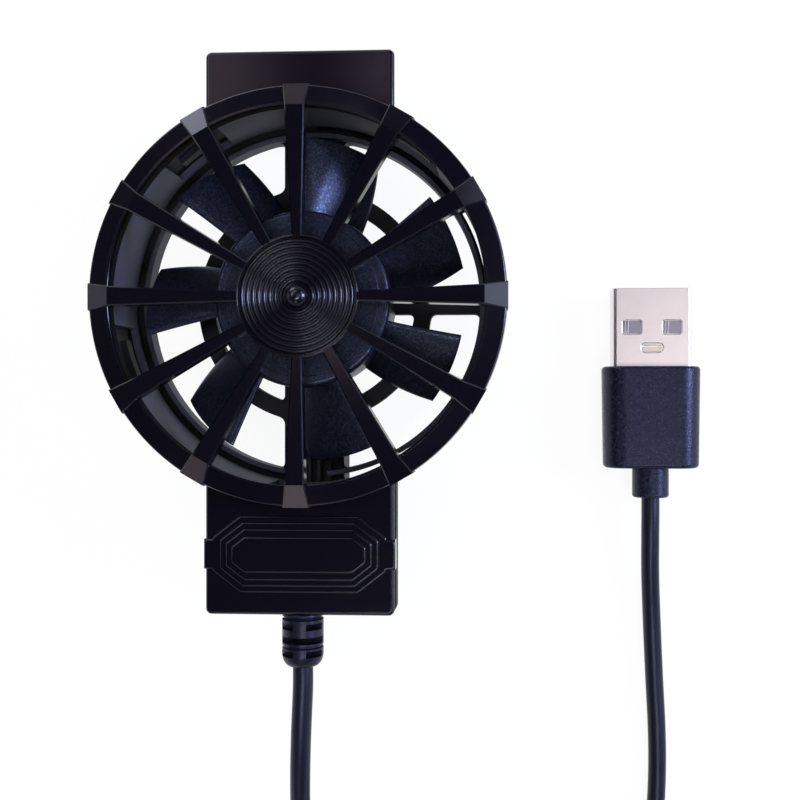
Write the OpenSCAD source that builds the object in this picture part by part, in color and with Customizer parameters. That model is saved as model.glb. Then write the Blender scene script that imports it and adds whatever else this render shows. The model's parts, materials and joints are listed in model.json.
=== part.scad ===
// Clip-on phone cooling fan with a sprung sliding jaw and a corded plug.
// X runs across the clamp, Y along it towards the sliding jaw, Z out through the guard.

/* [Guard and duct] */
// Outer diameter of the guard rim
ring_d = 55.5; // [53:0.5:60]
// Radial width of the guard rim
rim_w = 2.9; // [2.6:0.1:3.3]
// Height of the bevel on the rim
bevel_h = 2; // [1.2:0.1:2.4]
// Number of guard spokes
spoke_count = 12; // [8:1:16]
// Width of a spoke where it meets the rim
spoke_tip_w = 2.6; // [2:0.1:3.2]
// Width of a spoke where it meets the guard hub
spoke_root_w = 1.3; // [1:0.1:2]
// Diameter of the guard hub
guard_hub_d = 16.3; // [14:0.1:20]
// Number of snap windows round the duct
snap_count = 5; // [3:2:5]

/* [Impeller] */
// Number of blades
blade_count = 7; // [5:1:9]
// Radial gap between the blade tips and the rear hoop
tip_gap = 1.8; // [1:0.1:2.5]
// Diameter of the impeller hub
hub_d = 24; // [23.6:0.1:25]
// Height of the impeller hub
hub_h = 8.6; // [8.2:0.1:10]
// Thickness of a blade
blade_t = 0.8; // [0.6:0.1:1]

/* [Rear grille] */
// Mean diameter of the middle grille ring
mid_ring_d = 31.4; // [30:0.2:33]
// Radial width of the middle grille ring
mid_ring_w = 2.4; // [2:0.1:3]
// Width of the two side struts
strut_w = 2.8; // [2:0.1:4]
// Width of the spine that carries the sliding tongue
spine_w = 8.6; // [8:0.1:10]

/* [Clamp] */
// Width of the clamp slabs
body_w = 25.4; // [24:0.2:28]
// Thickness of the clamp slabs
slab_t = 5.6; // [5.4:0.1:7]
// How far the sliding jaw reaches past the rim
jaw_len = 5.25; // [5:0.25:9]
// How far the fixed heel reaches past the rim
heel_len = 14.65; // [14:0.05:18]
// Thickest phone that the hooks take
phone_gap = 9.8; // [8:0.2:13]
// Travel of the sliding jaw
jaw_travel = 20; // [12:1:21]
// Width of the hooks
hook_w = 20; // [18:0.5:24]
// Thickness of the hook legs
leg_t = 3.2; // [2.8:0.1:3.4]
// How far the hook lips reach under the phone
lip_reach = 2.6; // [2:0.1:3.5]
// Thickness of the soft jaw pads
pad_t = 1.2; // [0.8:0.1:1.4]

/* [Motor] */
// Diameter of the shaft
shaft_d = 2; // [1.6:0.1:2.2]
// Outer diameter of the sleeve bearing
bearing_d = 4.84; // [4.6:0.02:5.2]
// Thickness of the ring magnet
magnet_t = 1.2; // [1:0.1:1.4]

/* [Cord and plug] */
// Diameter of the cord
cord_d = 2.8; // [2.4:0.1:2.9]
// Length of the strain relief outside the slab
gland_len = 7.3; // [6.6:0.1:9]
// Width of the plug's metal shell
shell_w = 12; // [11.8:0.1:12.2]
// Thickness of the plug's metal shell
shell_h = 4.5; // [4.4:0.1:4.6]
// Length of the plug's metal shell outside the boot
shell_len = 12; // [11.5:0.1:12.5]
// Width of the plug's boot
boot_w = 15; // [14.4:0.2:17]
// Thickness of the plug's boot
boot_h = 8; // [7.4:0.1:9]
// Length of the plug's boot
boot_len = 15.6; // [14:0.2:18]

/* [Hidden] */
$fn = 64;

// Overshoot of a cut past the face that it opens
cut = 0.5;
// Gap of a glued or pressed fit, and of a running fit
press_gap = 0.03;
run_gap = 0.03;
// Gap of a part dropped into its seat, and of a part that slides
fit_gap = 0.2;
slide_gap = 0.3;

// Radii from the rim inwards
ring_r = ring_d / 2;
lip_r = ring_r - rim_w;
lip_flat = 0.35;
shoulder_w = 0.1;
shoulder_drop = 0.8;
undercut = 0.45;
duct_r = lip_r + undercut;
skirt_t = 0.8;
skirt_r = duct_r + skirt_t;
wall_in_r = skirt_r + fit_gap;
wall_t = 0.9;
wall_r = wall_in_r + wall_t;
jaw_arc_r = wall_r + 0.4;
hoop_gap = 0.7;
hoop_t = 0.7;
hoop_r = duct_r - hoop_gap;
hoop_in_r = hoop_r - hoop_t;
tip_r = hoop_in_r - tip_gap;
hub_r = hub_d / 2;
guard_hub_r = guard_hub_d / 2;
base_r = 11;

// Levels from the hook tips upwards
hook_lip_t = 2.2;
phone_z = hook_lip_t + phone_gap;
rest_pad_t = 0.6;
back_z = phone_z + rest_pad_t;
cover_t = 1.2;
channel_z = back_z + cover_t;
tongue_t = 2.4;
tongue_z = channel_z + slide_gap;
web_z = tongue_z + tongue_t + slide_gap;
web_t = 1.8;
web_top = web_z + web_t;
hoop_h = 3;
hoop_top = web_z + hoop_h;
groove_h = 0.7;
skirt_z = hoop_top + groove_h;
rotor_gap = 1.8;
rotor_z = web_top + rotor_gap;
hub_top = rotor_z + hub_h;
guard_gap = 2;
guard_z = hub_top + guard_gap;
guard_hub_h = 1.7;
guard_hub_top = guard_z + guard_hub_h;
lip_z = guard_z + 3;
bevel_z = lip_z - bevel_h;
rim_side_h = 1.1;
rim_z = bevel_z - rim_side_h;
slab_top = rim_z - slide_gap;
slab_z = slab_top - slab_t;
split_z = slab_z + slab_t / 2;
slab_wall = 1.2;
corner_r = 0.8;

// Places along the clamp, from the fan axis
jaw_reach = ring_r + jaw_len;
heel_reach = ring_r + heel_len;
fan_y = (heel_reach - jaw_reach) / 2;
jaw_leg_y = jaw_reach - leg_t;
heel_leg_y = heel_reach - leg_t;
spine_wall = 1.1;
channel_w = spine_w - 2 * spine_wall;
tongue_w = channel_w - 2 * fit_gap;

// Return spring and the posts that hold it
post_r = 0.6;
post_y = 4;
pin_r = 0.5;
spring_span = 13.5;
pin_y = post_y + spring_span;
slot_w = 3;
slot_y = post_y - jaw_travel - post_r - 0.4;
slot_top = pin_y + pin_r;
tongue_y = slot_y - 3.5;
spring_z = tongue_z + tongue_t / 2;
spring_r = 1;
spring_wire_r = 0.2;
spring_turns = 14;

// Motor, from the hub inwards
hub_wall = 1.35;
hub_top_t = 1.4;
yoke_t = 0.6;
yoke_r = hub_r - hub_wall - press_gap;
yoke_in_r = yoke_r - yoke_t;
yoke_top = hub_top - hub_top_t;
magnet_r = yoke_in_r - press_gap;
magnet_in_r = magnet_r - magnet_t;
air_gap = 0.5;
stator_r = magnet_in_r - air_gap;
shaft_r = shaft_d / 2;
bearing_r = bearing_d / 2;
bore_r = bearing_r + press_gap;
tube_r = bore_r + 0.95;
boss_r = shaft_r + 1;
boss_z = yoke_top - 0.7;
bearing_top = boss_z - slide_gap;
tube_top = bearing_top - 0.4;
plug_t = 0.7;
thrust_t = 0.4;
shaft_z = web_z + plug_t + thrust_t + 0.05;
clip_t = 0.25;
clip_z = shaft_z + 0.35;
bearing_z = clip_z + clip_t + slide_gap;
board_t = 0.8;
stator_h = 3.2;
stator_z = web_top + board_t + 2;
coil_w = 4;
pole_w = 2.2;
shoe_t = 0.8;

// Screws of the spine cover
screw_x = 6.2;
screw_head_r = 1.45;
screw_head_h = 0.65;
screw_r = 0.65;
screw_boss_r = 1.7;
boss_inset = 0.5;
screw_y = sqrt(pow(base_r - boss_inset - screw_boss_r, 2) - pow(screw_x, 2));

// Supply board in the heel, and the riser that its leads go down
power_board = [14, 8.5, 0.8];
power_board_y = -(heel_reach - 6.8);
power_board_z = slab_z + slab_wall + 0.6;
riser_w = 5.2;
riser_depth = 4.2;
riser_wall = 0.8;
riser_y = -(wall_r + riser_depth);
lead_r = 0.4;
lead_x = 0.7;
lead_z = web_top + lead_r + 0.1;

// Grip on the heel: half widths and half heights of its terraces
grip_y = -(heel_reach - 8.15);
grip_half_w = [11.65, 10.65, 9.8, 9];
grip_half_h = [5.15, 4.3, 3.45, 2.4];
grip_chamfer = [3.7, 2.85];
grip_step = 0.22;
tab_w = 4;
tab_t = 0.45;
tab_proud = 0.15;
tab_drop = 2;

// Strain relief
gland_r = slab_t / 2;
gland_neck_r = 1.7;
gland_y = -heel_reach - gland_len;

// Plug lying on the surface beside the fan
cord_r = cord_d / 2;
plug_x = 50;
boot_y = -3.8;
plug_z = boot_h / 2;
boot_end = boot_y - boot_len;
neck_len = 4.6;
neck_r = 2.8;
neck_end = boot_end - neck_len;
shell_t = 0.3;
shell_root = 4;
shell_tip = boot_y + shell_len;
plastic_h = 1.9;

// Coil of spare cord, two layers of loops
coil_at = [25, -102];
coil_turns = 4;
coil_pitch = cord_d + 0.5;
coil_in_r = 10;
coil_dip = 0.7;
coil_out_r = coil_in_r + coil_turns * coil_pitch;
coil_lift = 0.6;
coil_z = coil_lift + cord_r;
coil_layer = coil_pitch;
coil_rings = 24;
coil_start = [coil_at[0] - coil_out_r, coil_at[1] + cord_d, coil_z];
coil_finish = [coil_at[0] + coil_out_r, coil_at[1] + cord_d, coil_z + coil_layer];
coil_run = 2.5;
tie_t = 0.5;
tie_w = 5;

// Cord from the strain relief down to the coil
lead_route = [
    [0, fan_y + gland_y, split_z], [0, -48, split_z], [-0.3, -54, split_z - 0.3],
    [-0.6, -60, split_z - 1.2], [-0.9, -66, split_z - 3.2], [-1, -72, split_z - 6.6],
    [-0.8, -78, split_z - 11.4], [-0.2, -84, 11], [0.7, -90, 6], [1.5, -94.5, 3],
    coil_start + [0, coil_run, 0], coil_start
];
// Cord from the coil back to the plug
tail_route = [
    coil_finish, coil_finish + [0, coil_run, 0], [48.8, -90, 3.6], [49.8, -84, 2],
    [50.7, -78, cord_r], [51.2, -72, cord_r], [51.4, -66, cord_r], [51.3, -60, cord_r],
    [51, -54, cord_r], [50.7, -48, 1.6], [50.4, -42, 2.1], [50.1, -36, 3],
    [plug_x, -30, 3.8], [plug_x, -27, plug_z], [plug_x, neck_end, plug_z]
];

function unit(v) = v / norm(v);

function mix(a, b, share) = a + (b - a) * share;

// Half a cosine wave from 0 to 1, level at both ends
function ease(share) = (1 - cos(180 * min(max(share, 0), 1))) / 2;

function heading(path, i) =
    unit(path[min(i + 1, len(path) - 1)] - path[max(i - 1, 0)]);

// Points of one ring of a tube, square to its heading
function ring_of(at, along, level, r, sides) =
    let (across = unit(cross(level, along)), up = cross(along, across))
    [for (k = [0 : sides - 1]) at + r * (cos(360 * k / sides) * across + sin(360 * k / sides) * up)];

function path_length(path) =
    let (steps = [for (i = [1 : len(path) - 1]) norm(path[i] - path[i - 1])])
    steps * [for (s = steps) 1];

// Radius of the coil after so many turns: in on the lower layer, out again on the upper one,
// drawn in a little in the half turn where it climbs
function coil_radius(turn) =
    let (climb = min(max((turn - coil_turns) / 0.5, 0), 1))
    coil_in_r - coil_dip * sin(180 * climb)
    + coil_pitch * max(coil_turns - turn, turn - coil_turns - 0.5, 0);

function coil_point(turn) =
    let (r = coil_radius(turn), angle = 180 + 360 * turn)
    [
        coil_at[0] + r * cos(angle),
        coil_at[1] + r * sin(angle),
        coil_z + coil_layer * ease((turn - coil_turns) / 0.5)
    ];

coil_steps = (2 * coil_turns + 0.5) * coil_rings;
coil_route = concat(
    [coil_start],
    [for (i = [0 : coil_steps]) coil_point(i / coil_rings)],
    [coil_finish]
);

// Least gap between loops, over points at least half a turn apart
coil_gap = min([
    for (i = [0 : coil_steps])
    for (j = [i + coil_rings / 2 : 1 : coil_steps])
    norm(coil_route[i] - coil_route[j])
]) - cord_d;
echo(coil_gap = coil_gap);
echo(cord_length = path_length(lead_route) + path_length(coil_route) + path_length(tail_route));

function spring_point(turn) = [
    spring_r * cos(360 * turn),
    mix(post_y + post_r + 0.5, pin_y - pin_r - 0.5, turn / spring_turns),
    spring_z + spring_r * sin(360 * turn)
];

spring_rings = 12;
spring_route = [
    for (i = [0 : spring_turns * spring_rings]) spring_point(i / spring_rings)
];

module at_fan() {
    translate([0, fan_y, 0])
    children();
}

module block(x, y, z) {
    translate([x[0], y[0], z[0]])
    cube([x[1] - x[0], y[1] - y[0], z[1] - z[0]]);
}

module disc(r, z) {
    translate([0, 0, z[0]])
    cylinder(r = r, h = z[1] - z[0]);
}

module sleeve(r, z) {
    difference() {
        disc(r[1], z);
        disc(r[0], [z[0] - cut, z[1] + cut]);
    }
}

module slab(z) {
    translate([0, 0, z[0]])
    linear_extrude(z[1] - z[0])
    children();
}

// Solid skinned over closed loops of points, with flat ends
module loft(loops) {
    n = len(loops);
    m = len(loops[0]);
    sides = [
        for (i = [0 : n - 2])
        for (k = [0 : m - 1])
        [i * m + k, (i + 1) * m + k, (i + 1) * m + (k + 1) % m, i * m + (k + 1) % m]
    ];
    start = [for (k = [0 : m / 2 - 2]) [k, k + 1, m - 2 - k, m - 1 - k]];
    finish = [for (f = start) [for (k = [3 : -1 : 0]) (n - 1) * m + f[k]]];
    polyhedron([for (loop = loops) each loop], concat(sides, start, finish));
}

module tube_along(path, r, sides, level = [0, 0, 1]) {
    loft([for (i = [0 : len(path) - 1]) ring_of(path[i], heading(path, i), level, r, sides)]);
}

// Outline of one end of the clamp, hollowed by the arc that faces the duct
module end_outline(reach, inset, arc_r) {
    half = body_w / 2 - inset;
    far = reach - inset;
    difference() {
        union() {
            translate([-half, 0])
            square([2 * half, far - corner_r]);
            translate([corner_r - half, 0])
            square([2 * (half - corner_r), far]);
            for (side = [-1, 1])
                translate([side * (half - corner_r), far - corner_r])
                circle(corner_r);
        }
        circle(arc_r);
    }
}

module rounded_bar(w, l, r) {
    union() {
        square([w - 2 * r, l], center = true);
        square([w, l - 2 * r], center = true);
        for (x = [-1, 1])
            for (y = [-1, 1])
                translate([x * (w / 2 - r), y * (l / 2 - r)])
                circle(r);
    }
}

// Sector of a ring, about the X axis
module ring_sector(r, half_angle, z) {
    translate([0, 0, z[0]])
    rotate(-half_angle)
    rotate_extrude(angle = 2 * half_angle)
    translate([r[0], 0])
    square([r[1] - r[0], z[1] - z[0]]);
}

module each_snap() {
    for (i = [0 : snap_count - 1])
        rotate(270 + 360 * i / snap_count)
        children();
}

// One spoke along X: a bar that rises to the lip, then a block down the bevel
module spoke() {
    rise = 0.5;
    block_fall = 1.3;
    root = [guard_hub_r - 0.2, spoke_root_w / 2, guard_hub_top, 0.25];
    lip = [lip_r - 0.1, spoke_tip_w / 2, lip_z + rise, 0.3];
    end = [ring_r + 0.05, spoke_tip_w / 2 + 0.5, lip_z + rise - block_fall, 0.35];
    floors = [guard_z + 0.2, rim_z + 0.2, rim_z + 0.2];
    stations = [root, lip, end];
    loft([
        for (i = [0 : 2])
        let (s = stations[i], low = s[1] + s[3])
        [[s[0], low, floors[i]], [s[0], s[1], s[2]], [s[0], -s[1], s[2]], [s[0], -low, floors[i]]]
    ]);
}

module front_guard() {
    ledge_h = 0.8;
    groove_r = duct_r + 0.9;
    seat_t = 0.9;
    cap_gap = 0.3;
    snap_half = 10;
    color([0.03, 0.03, 0.04])
    at_fan() {
        difference() {
            union() {
                rotate_extrude()
                polygon([
                    [duct_r, skirt_z], [duct_r, bevel_z], [groove_r, bevel_z],
                    [groove_r, lip_z - ledge_h], [lip_r, lip_z - ledge_h], [lip_r, lip_z],
                    [lip_r + lip_flat, lip_z], [ring_r - shoulder_w, lip_z - shoulder_drop],
                    [ring_r, bevel_z], [ring_r, rim_z],
                    [skirt_r, rim_z], [skirt_r, skirt_z]
                ]);
                disc(guard_hub_r, [guard_z, guard_hub_top]);
                for (i = [0 : spoke_count - 1])
                    rotate(90 + 360 * i / spoke_count)
                    spoke();
            }
            disc(guard_hub_r - cap_gap, [guard_z + seat_t, lip_z]);
            each_snap()
                ring_sector([duct_r - cut, skirt_r + fit_gap / 2], snap_half, [skirt_z + 1.4, rim_z - 0.4]);
        }
    }
}

module hub_cap() {
    base_z = guard_z + 0.9;
    face_z = base_z + 0.4;
    cap_r = guard_hub_r - 0.35;
    nipple_r = 1.65;
    ridges = 8;
    ridge_h = 0.3;
    steps = 6;
    ridge_pitch = (cap_r - nipple_r - 0.2) / ridges;
    color([0.05, 0.05, 0.06])
    at_fan()
    union() {
        rotate_extrude()
        polygon(concat(
            [[0, base_z], [cap_r, base_z], [cap_r, face_z]],
            [
                for (i = [0 : ridges * steps])
                [cap_r - 0.1 - i * ridge_pitch / steps, face_z + ridge_h * (1 - cos(360 * i / steps)) / 2]
            ],
            [[0, face_z]]
        ));
        intersection() {
            translate([0, 0, face_z])
            sphere(r = nipple_r);
            disc(cap_r, [base_z, lip_z]);
        }
    }
}

// Bearing tube, web and rings of the rear grille
module grille() {
    rotate_extrude()
    polygon([
        [hoop_in_r, web_z], [wall_r, web_z], [wall_r, rim_z], [wall_in_r, rim_z],
        [wall_in_r, web_top], [hoop_r, web_top], [hoop_r, hoop_top], [hoop_in_r, hoop_top]
    ]);
    sleeve([(mid_ring_d - mid_ring_w) / 2, (mid_ring_d + mid_ring_w) / 2], [web_z, web_top]);
    disc(base_r, [web_z, web_top]);
    disc(tube_r, [web_z, tube_top]);
    block([-duct_r - cut, duct_r + cut], [-strut_w / 2, strut_w / 2], [web_z, web_top]);
    for (x = [-1, 1])
        for (y = [-1, 1])
            translate([x * screw_x, y * screw_y, 0])
            disc(screw_boss_r, [channel_z, web_z + cut]);
    each_snap()
        ring_sector([duct_r + 0.3, wall_in_r + cut], 6, [skirt_z + 3.6, skirt_z + 5.6]);
}

// Channel behind the grille that the tongue of the sliding jaw runs in
module spine() {
    top_y = wall_r - 0.2;
    bottom_y = -heel_leg_y - cut;
    block([-spine_w / 2, spine_w / 2], [bottom_y, top_y], [web_z, web_top]);
    for (side = [-1, 1])
        translate([side * (spine_w - spine_wall) / 2, 0, 0])
        block([-spine_wall / 2, spine_wall / 2], [bottom_y, top_y], [channel_z, web_z + cut]);
    translate([0, post_y, 0])
    disc(post_r, [tongue_z - 0.1, web_z + cut]);
}

// Slab, leg and hook at the fixed end
module heel() {
    mirror([0, 1, 0]) {
        difference() {
            slab([slab_z, split_z])
                end_outline(heel_reach, 0, wall_in_r);
            slab([slab_z + slab_wall, split_z + cut])
                end_outline(heel_reach, slab_wall, wall_r);
        }
        block([-hook_w / 2, hook_w / 2], [heel_leg_y, heel_reach], [0, slab_z + slab_wall]);
        block([-hook_w / 2, hook_w / 2], [heel_leg_y - lip_reach, heel_reach], [0, hook_lip_t]);
        for (x = [-1, 1])
            for (y = [-1, 1])
                translate([x * (power_board[0] / 2 - 1), -power_board_y + y * (power_board[1] / 2 - 1), 0])
                disc(0.8, [slab_z + slab_wall - cut, power_board_z]);
    }
    block(
        [-riser_w / 2, riser_w / 2], [riser_y, -wall_in_r - riser_wall / 2],
        [web_top - cut, slab_z + slab_wall]
    );
}

module fan_frame() {
    trough_w = riser_w - 2 * riser_wall;
    trough_wall = 0.8;
    trough_h = 1.1;
    slit_half = 35;
    color([0.02, 0.02, 0.025])
    at_fan()
    difference() {
        union() {
            grille();
            spine();
            heel();
            for (side = [-1, 1])
                translate([side * (trough_w + trough_wall) / 2, 0, 0])
                block(
                    [-trough_wall / 2, trough_wall / 2],
                    [-duct_r - cut, 0.4 - base_r], [web_top - cut, web_top + trough_h]
                );
        }
        disc(bore_r, [web_z - cut, tube_top + cut]);
        for (turn = [-45, 45])
            rotate(turn)
            ring_sector([hoop_r, duct_r + 0.3], slit_half, [web_z - cut, web_top + cut]);
        for (x = [-1, 1])
            for (y = [-1, 1])
                translate([x * screw_x, y * screw_y, 0])
                disc(screw_r + press_gap, [channel_z - cut, web_z]);
        block([-trough_w / 2, trough_w / 2], [riser_y + riser_wall, cut - hoop_in_r], [web_top, hoop_top + cut]);
        block(
            [-trough_w / 2, trough_w / 2], [riser_y + riser_wall, -wall_r - 0.4],
            [web_top, slab_z + slab_wall + cut]
        );
        translate([0, 0, split_z])
        rotate([90, 0, 0])
        disc(gland_neck_r + press_gap, [heel_reach - slab_wall - cut, heel_reach + cut]);
    }
}

// Back plate that closes the spine channel
module spine_cover() {
    ear_r = 2;
    color([0.02, 0.02, 0.025])
    at_fan()
    difference() {
        union() {
            block([-spine_w / 2, spine_w / 2], [fit_gap - heel_leg_y, wall_r - 0.4], [back_z, channel_z]);
            for (y = [-1, 1]) {
                translate([0, y * screw_y, 0])
                block([-screw_x, screw_x], [-ear_r, ear_r], [back_z, channel_z]);
                for (x = [-1, 1])
                    translate([x * screw_x, y * screw_y, 0])
                    disc(ear_r, [back_z, channel_z]);
            }
        }
        for (x = [-1, 1])
            for (y = [-1, 1])
                translate([x * screw_x, y * screw_y, 0]) {
                    disc(screw_r + 0.1, [back_z - cut, channel_z + cut]);
                    disc(screw_head_r + 0.1, [back_z - cut, back_z + screw_head_h]);
                }
    }
}

module cover_screws() {
    drive_r = 0.6;
    color("silver")
    at_fan()
    for (x = [-1, 1])
        for (y = [-1, 1])
            translate([x * screw_x, y * screw_y, 0])
            difference() {
                union() {
                    disc(screw_head_r, [back_z + 0.05, back_z + screw_head_h]);
                    disc(screw_r, [back_z + screw_head_h - 0.1, web_z - 0.4]);
                }
                for (turn = [0, 90])
                    rotate(turn)
                    block([-drive_r, drive_r], [-0.15, 0.15], [back_z - cut, back_z + 0.35]);
            }
}

module rest_pads() {
    pad_l = 9;
    pad_w = spine_w - 1.6;
    color([0.08, 0.08, 0.09])
    at_fan()
    for (y = [wall_r - 7, 6 - wall_r])
        translate([0, y, 0])
        slab([phone_z, back_z])
            rounded_bar(pad_w, pad_l, 1);
}

// Soft pad on a hook leg, outside face against the leg
module hook_pad(leg_y) {
    pad_z = [hook_lip_t + 0.8, phone_z - 0.8];
    translate([0, leg_y, (pad_z[0] + pad_z[1]) / 2])
    rotate([90, 0, 0])
    slab([0, pad_t])
        rounded_bar(hook_w - 4, pad_z[1] - pad_z[0], 1);
}

module heel_pad() {
    color([0.08, 0.08, 0.09])
    at_fan()
    mirror([0, 1, 0])
    hook_pad(heel_leg_y);
}

module jaw_pad() {
    color([0.08, 0.08, 0.09])
    at_fan()
    hook_pad(jaw_leg_y);
}

module grip_outline(half_w, half_h, chamfer) {
    polygon([
        [half_w, half_h - chamfer[1]], [half_w - chamfer[0], half_h],
        [chamfer[0] - half_w, half_h], [-half_w, half_h - chamfer[1]],
        [-half_w, chamfer[1] - half_h], [chamfer[0] - half_w, -half_h],
        [half_w - chamfer[0], -half_h], [half_w, chamfer[1] - half_h]
    ]);
}

// Front shell of the heel, with notches for the tabs of the grip
module heel_cover() {
    color([0.03, 0.03, 0.04])
    at_fan()
    difference() {
        mirror([0, 1, 0])
        difference() {
            slab([split_z, slab_top])
                end_outline(heel_reach, 0, wall_r + fit_gap / 2);
            slab([split_z - cut, slab_top - slab_wall])
                end_outline(heel_reach, slab_wall, wall_r - 0.4);
        }
        for (side = [-1, 1])
            translate([side * body_w / 2, grip_y, 0])
            block(
                [press_gap - tab_t, tab_t], [-tab_w / 2 - press_gap, tab_w / 2 + press_gap],
                [slab_top - tab_drop, slab_top + cut]
            );
        translate([0, 0, split_z])
        rotate([90, 0, 0])
        disc(gland_neck_r + press_gap, [heel_reach - slab_wall - cut, heel_reach + cut]);
    }
}

// Stepped octagonal grip that clips over the sides of the heel
module grip_plate() {
    side_x = body_w / 2 + tab_proud;
    color([0.03, 0.03, 0.04])
    at_fan()
    translate([0, grip_y, 0])
    union() {
        for (i = [0 : len(grip_half_w) - 1])
            slab([slab_top, slab_top + (i + 1) * grip_step])
                grip_outline(
                    grip_half_w[i], grip_half_h[i],
                    grip_chamfer * grip_half_h[i] / grip_half_h[0]
                );
        block([-side_x, side_x], [-tab_w / 2, tab_w / 2], [slab_top, slab_top + grip_step]);
        for (side = [-1, 1])
            translate([side * (side_x - (tab_t - press_gap) / 2), 0, 0])
            block(
                [-(tab_t - press_gap) / 2, (tab_t - press_gap) / 2], [-tab_w / 2, tab_w / 2],
                [slab_top - tab_drop + press_gap, slab_top + grip_step]
            );
    }
}

// Slab, leg, hook and tongue of the moving jaw
module sliding_jaw() {
    jaw_inset = 0.6;
    color([0.02, 0.02, 0.025])
    at_fan()
    difference() {
        union() {
            difference() {
                slab([slab_z, split_z])
                    intersection() {
                        end_outline(jaw_reach, 0, jaw_arc_r);
                        square([body_w - 2 * jaw_inset, 2 * jaw_reach], center = true);
                    }
                slab([slab_z + slab_wall, split_z + cut])
                    end_outline(jaw_reach, slab_wall + jaw_inset, jaw_arc_r + slab_wall);
            }
            block([-hook_w / 2, hook_w / 2], [jaw_leg_y, jaw_reach], [0, slab_z + slab_wall]);
            block([-hook_w / 2, hook_w / 2], [jaw_leg_y - lip_reach, jaw_reach], [0, hook_lip_t]);
            block([-tongue_w / 2, tongue_w / 2], [tongue_y, jaw_leg_y + cut], [tongue_z, tongue_z + tongue_t]);
        }
        block([-slot_w / 2, slot_w / 2], [slot_y, slot_top], [tongue_z - cut, tongue_z + tongue_t + cut]);
        translate([0, pin_y, spring_z])
        rotate([0, 90, 0])
        disc(pin_r + press_gap, [-tongue_w / 2 - cut, tongue_w / 2 + cut]);
    }
}

module jaw_cover() {
    color([0.03, 0.03, 0.04])
    at_fan()
    difference() {
        slab([split_z, slab_top])
            end_outline(jaw_reach, 0, jaw_arc_r);
        slab([split_z - cut, slab_top - slab_wall])
            end_outline(jaw_reach, slab_wall, jaw_arc_r + slab_wall);
    }
}

module spring_pin() {
    color("silver")
    at_fan()
    translate([0, pin_y, spring_z])
    rotate([0, 90, 0])
    disc(pin_r, [-tongue_w / 2, tongue_w / 2]);
}

module return_spring() {
    color("silver")
    at_fan()
    tube_along(spring_route, spring_wire_r, 6, [0, 1, 0]);
}

// Angles of a blade's leading and trailing edges at its root and at its tip
blade_lead = [88.5, 90];
blade_trail = [53, 64];

// Loops of one blade, from inside the hub wall out to the tip
function blade_loop(share) =
    let (
        r = mix(hub_r - 0.5, tip_r, share),
        lead = mix(blade_lead[0], blade_lead[1], share),
        trail = mix(blade_trail[0], blade_trail[1], share),
        high = mix(hub_top - 0.9, hub_top - 1.2, share),
        low = mix(rotor_z + 0.4, rotor_z + 0.9, share),
        camber = 0.7,
        parts = 6,
        tilt = atan2(high - low, r * (lead - trail) * PI / 180),
        lean = [blade_t / 2 * sin(tilt) / r * 180 / PI, blade_t / 2 * cos(tilt)]
    )
    [
        for (face = [1, -1])
        for (i = face > 0 ? [0 : parts] : [parts : -1 : 0])
        let (
            angle = mix(lead, trail, i / parts) - face * lean[0],
            z = mix(high, low, i / parts) + camber * sin(180 * i / parts) + face * lean[1]
        )
        [r * cos(angle), r * sin(angle), z]
    ];

module impeller() {
    stations = 4;
    edge_r = 0.9;
    step_h = 0.4;
    step_r = hub_r - 1.5;
    color([0.04, 0.04, 0.05])
    at_fan()
    difference() {
        union() {
            rotate_extrude()
            union() {
                polygon([
                    [0, yoke_top], [hub_r - hub_wall, yoke_top], [hub_r - hub_wall, rotor_z],
                    [hub_r, rotor_z], [hub_r, hub_top - step_h - edge_r],
                    [hub_r - edge_r, hub_top - step_h], [step_r, hub_top - step_h],
                    [step_r, hub_top], [0, hub_top]
                ]);
                intersection() {
                    translate([hub_r - edge_r, hub_top - step_h - edge_r])
                    circle(edge_r);
                    translate([hub_r - edge_r, hub_top - step_h - edge_r])
                    square(edge_r);
                }
            }
            disc(boss_r, [boss_z, hub_top - cut]);
            for (i = [0 : blade_count - 1])
                rotate(360 * i / blade_count)
                loft([for (s = [0 : stations]) blade_loop(s / stations)]);
        }
        disc(shaft_r + press_gap, [boss_z - cut, hub_top - 0.6]);
    }
}

// Steel cup inside the hub
module rotor_yoke() {
    flange_t = 0.6;
    color("gray")
    at_fan()
    rotate_extrude()
    polygon([
        [yoke_in_r, rotor_z + 0.2], [yoke_r, rotor_z + 0.2], [yoke_r, yoke_top],
        [boss_r + 2, yoke_top], [boss_r + 2, yoke_top - flange_t], [yoke_in_r, yoke_top - flange_t]
    ]);
}

module ring_magnet() {
    color([0.15, 0.15, 0.16])
    at_fan()
    sleeve([magnet_in_r, magnet_r], [rotor_z + 0.4, yoke_top - 0.6]);
}

module shaft() {
    groove_depth = 0.25;
    color("silver")
    at_fan()
    difference() {
        disc(shaft_r, [shaft_z, hub_top - 0.6]);
        sleeve([shaft_r - groove_depth, shaft_r + cut], [clip_z - press_gap, clip_z + clip_t + press_gap]);
    }
}

module retaining_clip() {
    color("gray")
    at_fan()
    difference() {
        sleeve([shaft_r - 0.22, bearing_r - 0.4], [clip_z, clip_z + clip_t]);
        block([0, bearing_r], [-0.3, 0.3], [clip_z - cut, clip_z + cut]);
    }
}

module sleeve_bearing() {
    color([0.7, 0.5, 0.25])
    at_fan()
    sleeve([shaft_r + run_gap, bearing_r], [bearing_z, bearing_top]);
}

module thrust_disc() {
    color([0.9, 0.9, 0.85])
    at_fan()
    disc(bearing_r - 0.3, [web_z + plug_t, web_z + plug_t + thrust_t]);
}

module bearing_plug() {
    color([0.02, 0.02, 0.025])
    at_fan()
    disc(bearing_r, [web_z, web_z + plug_t]);
}

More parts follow.
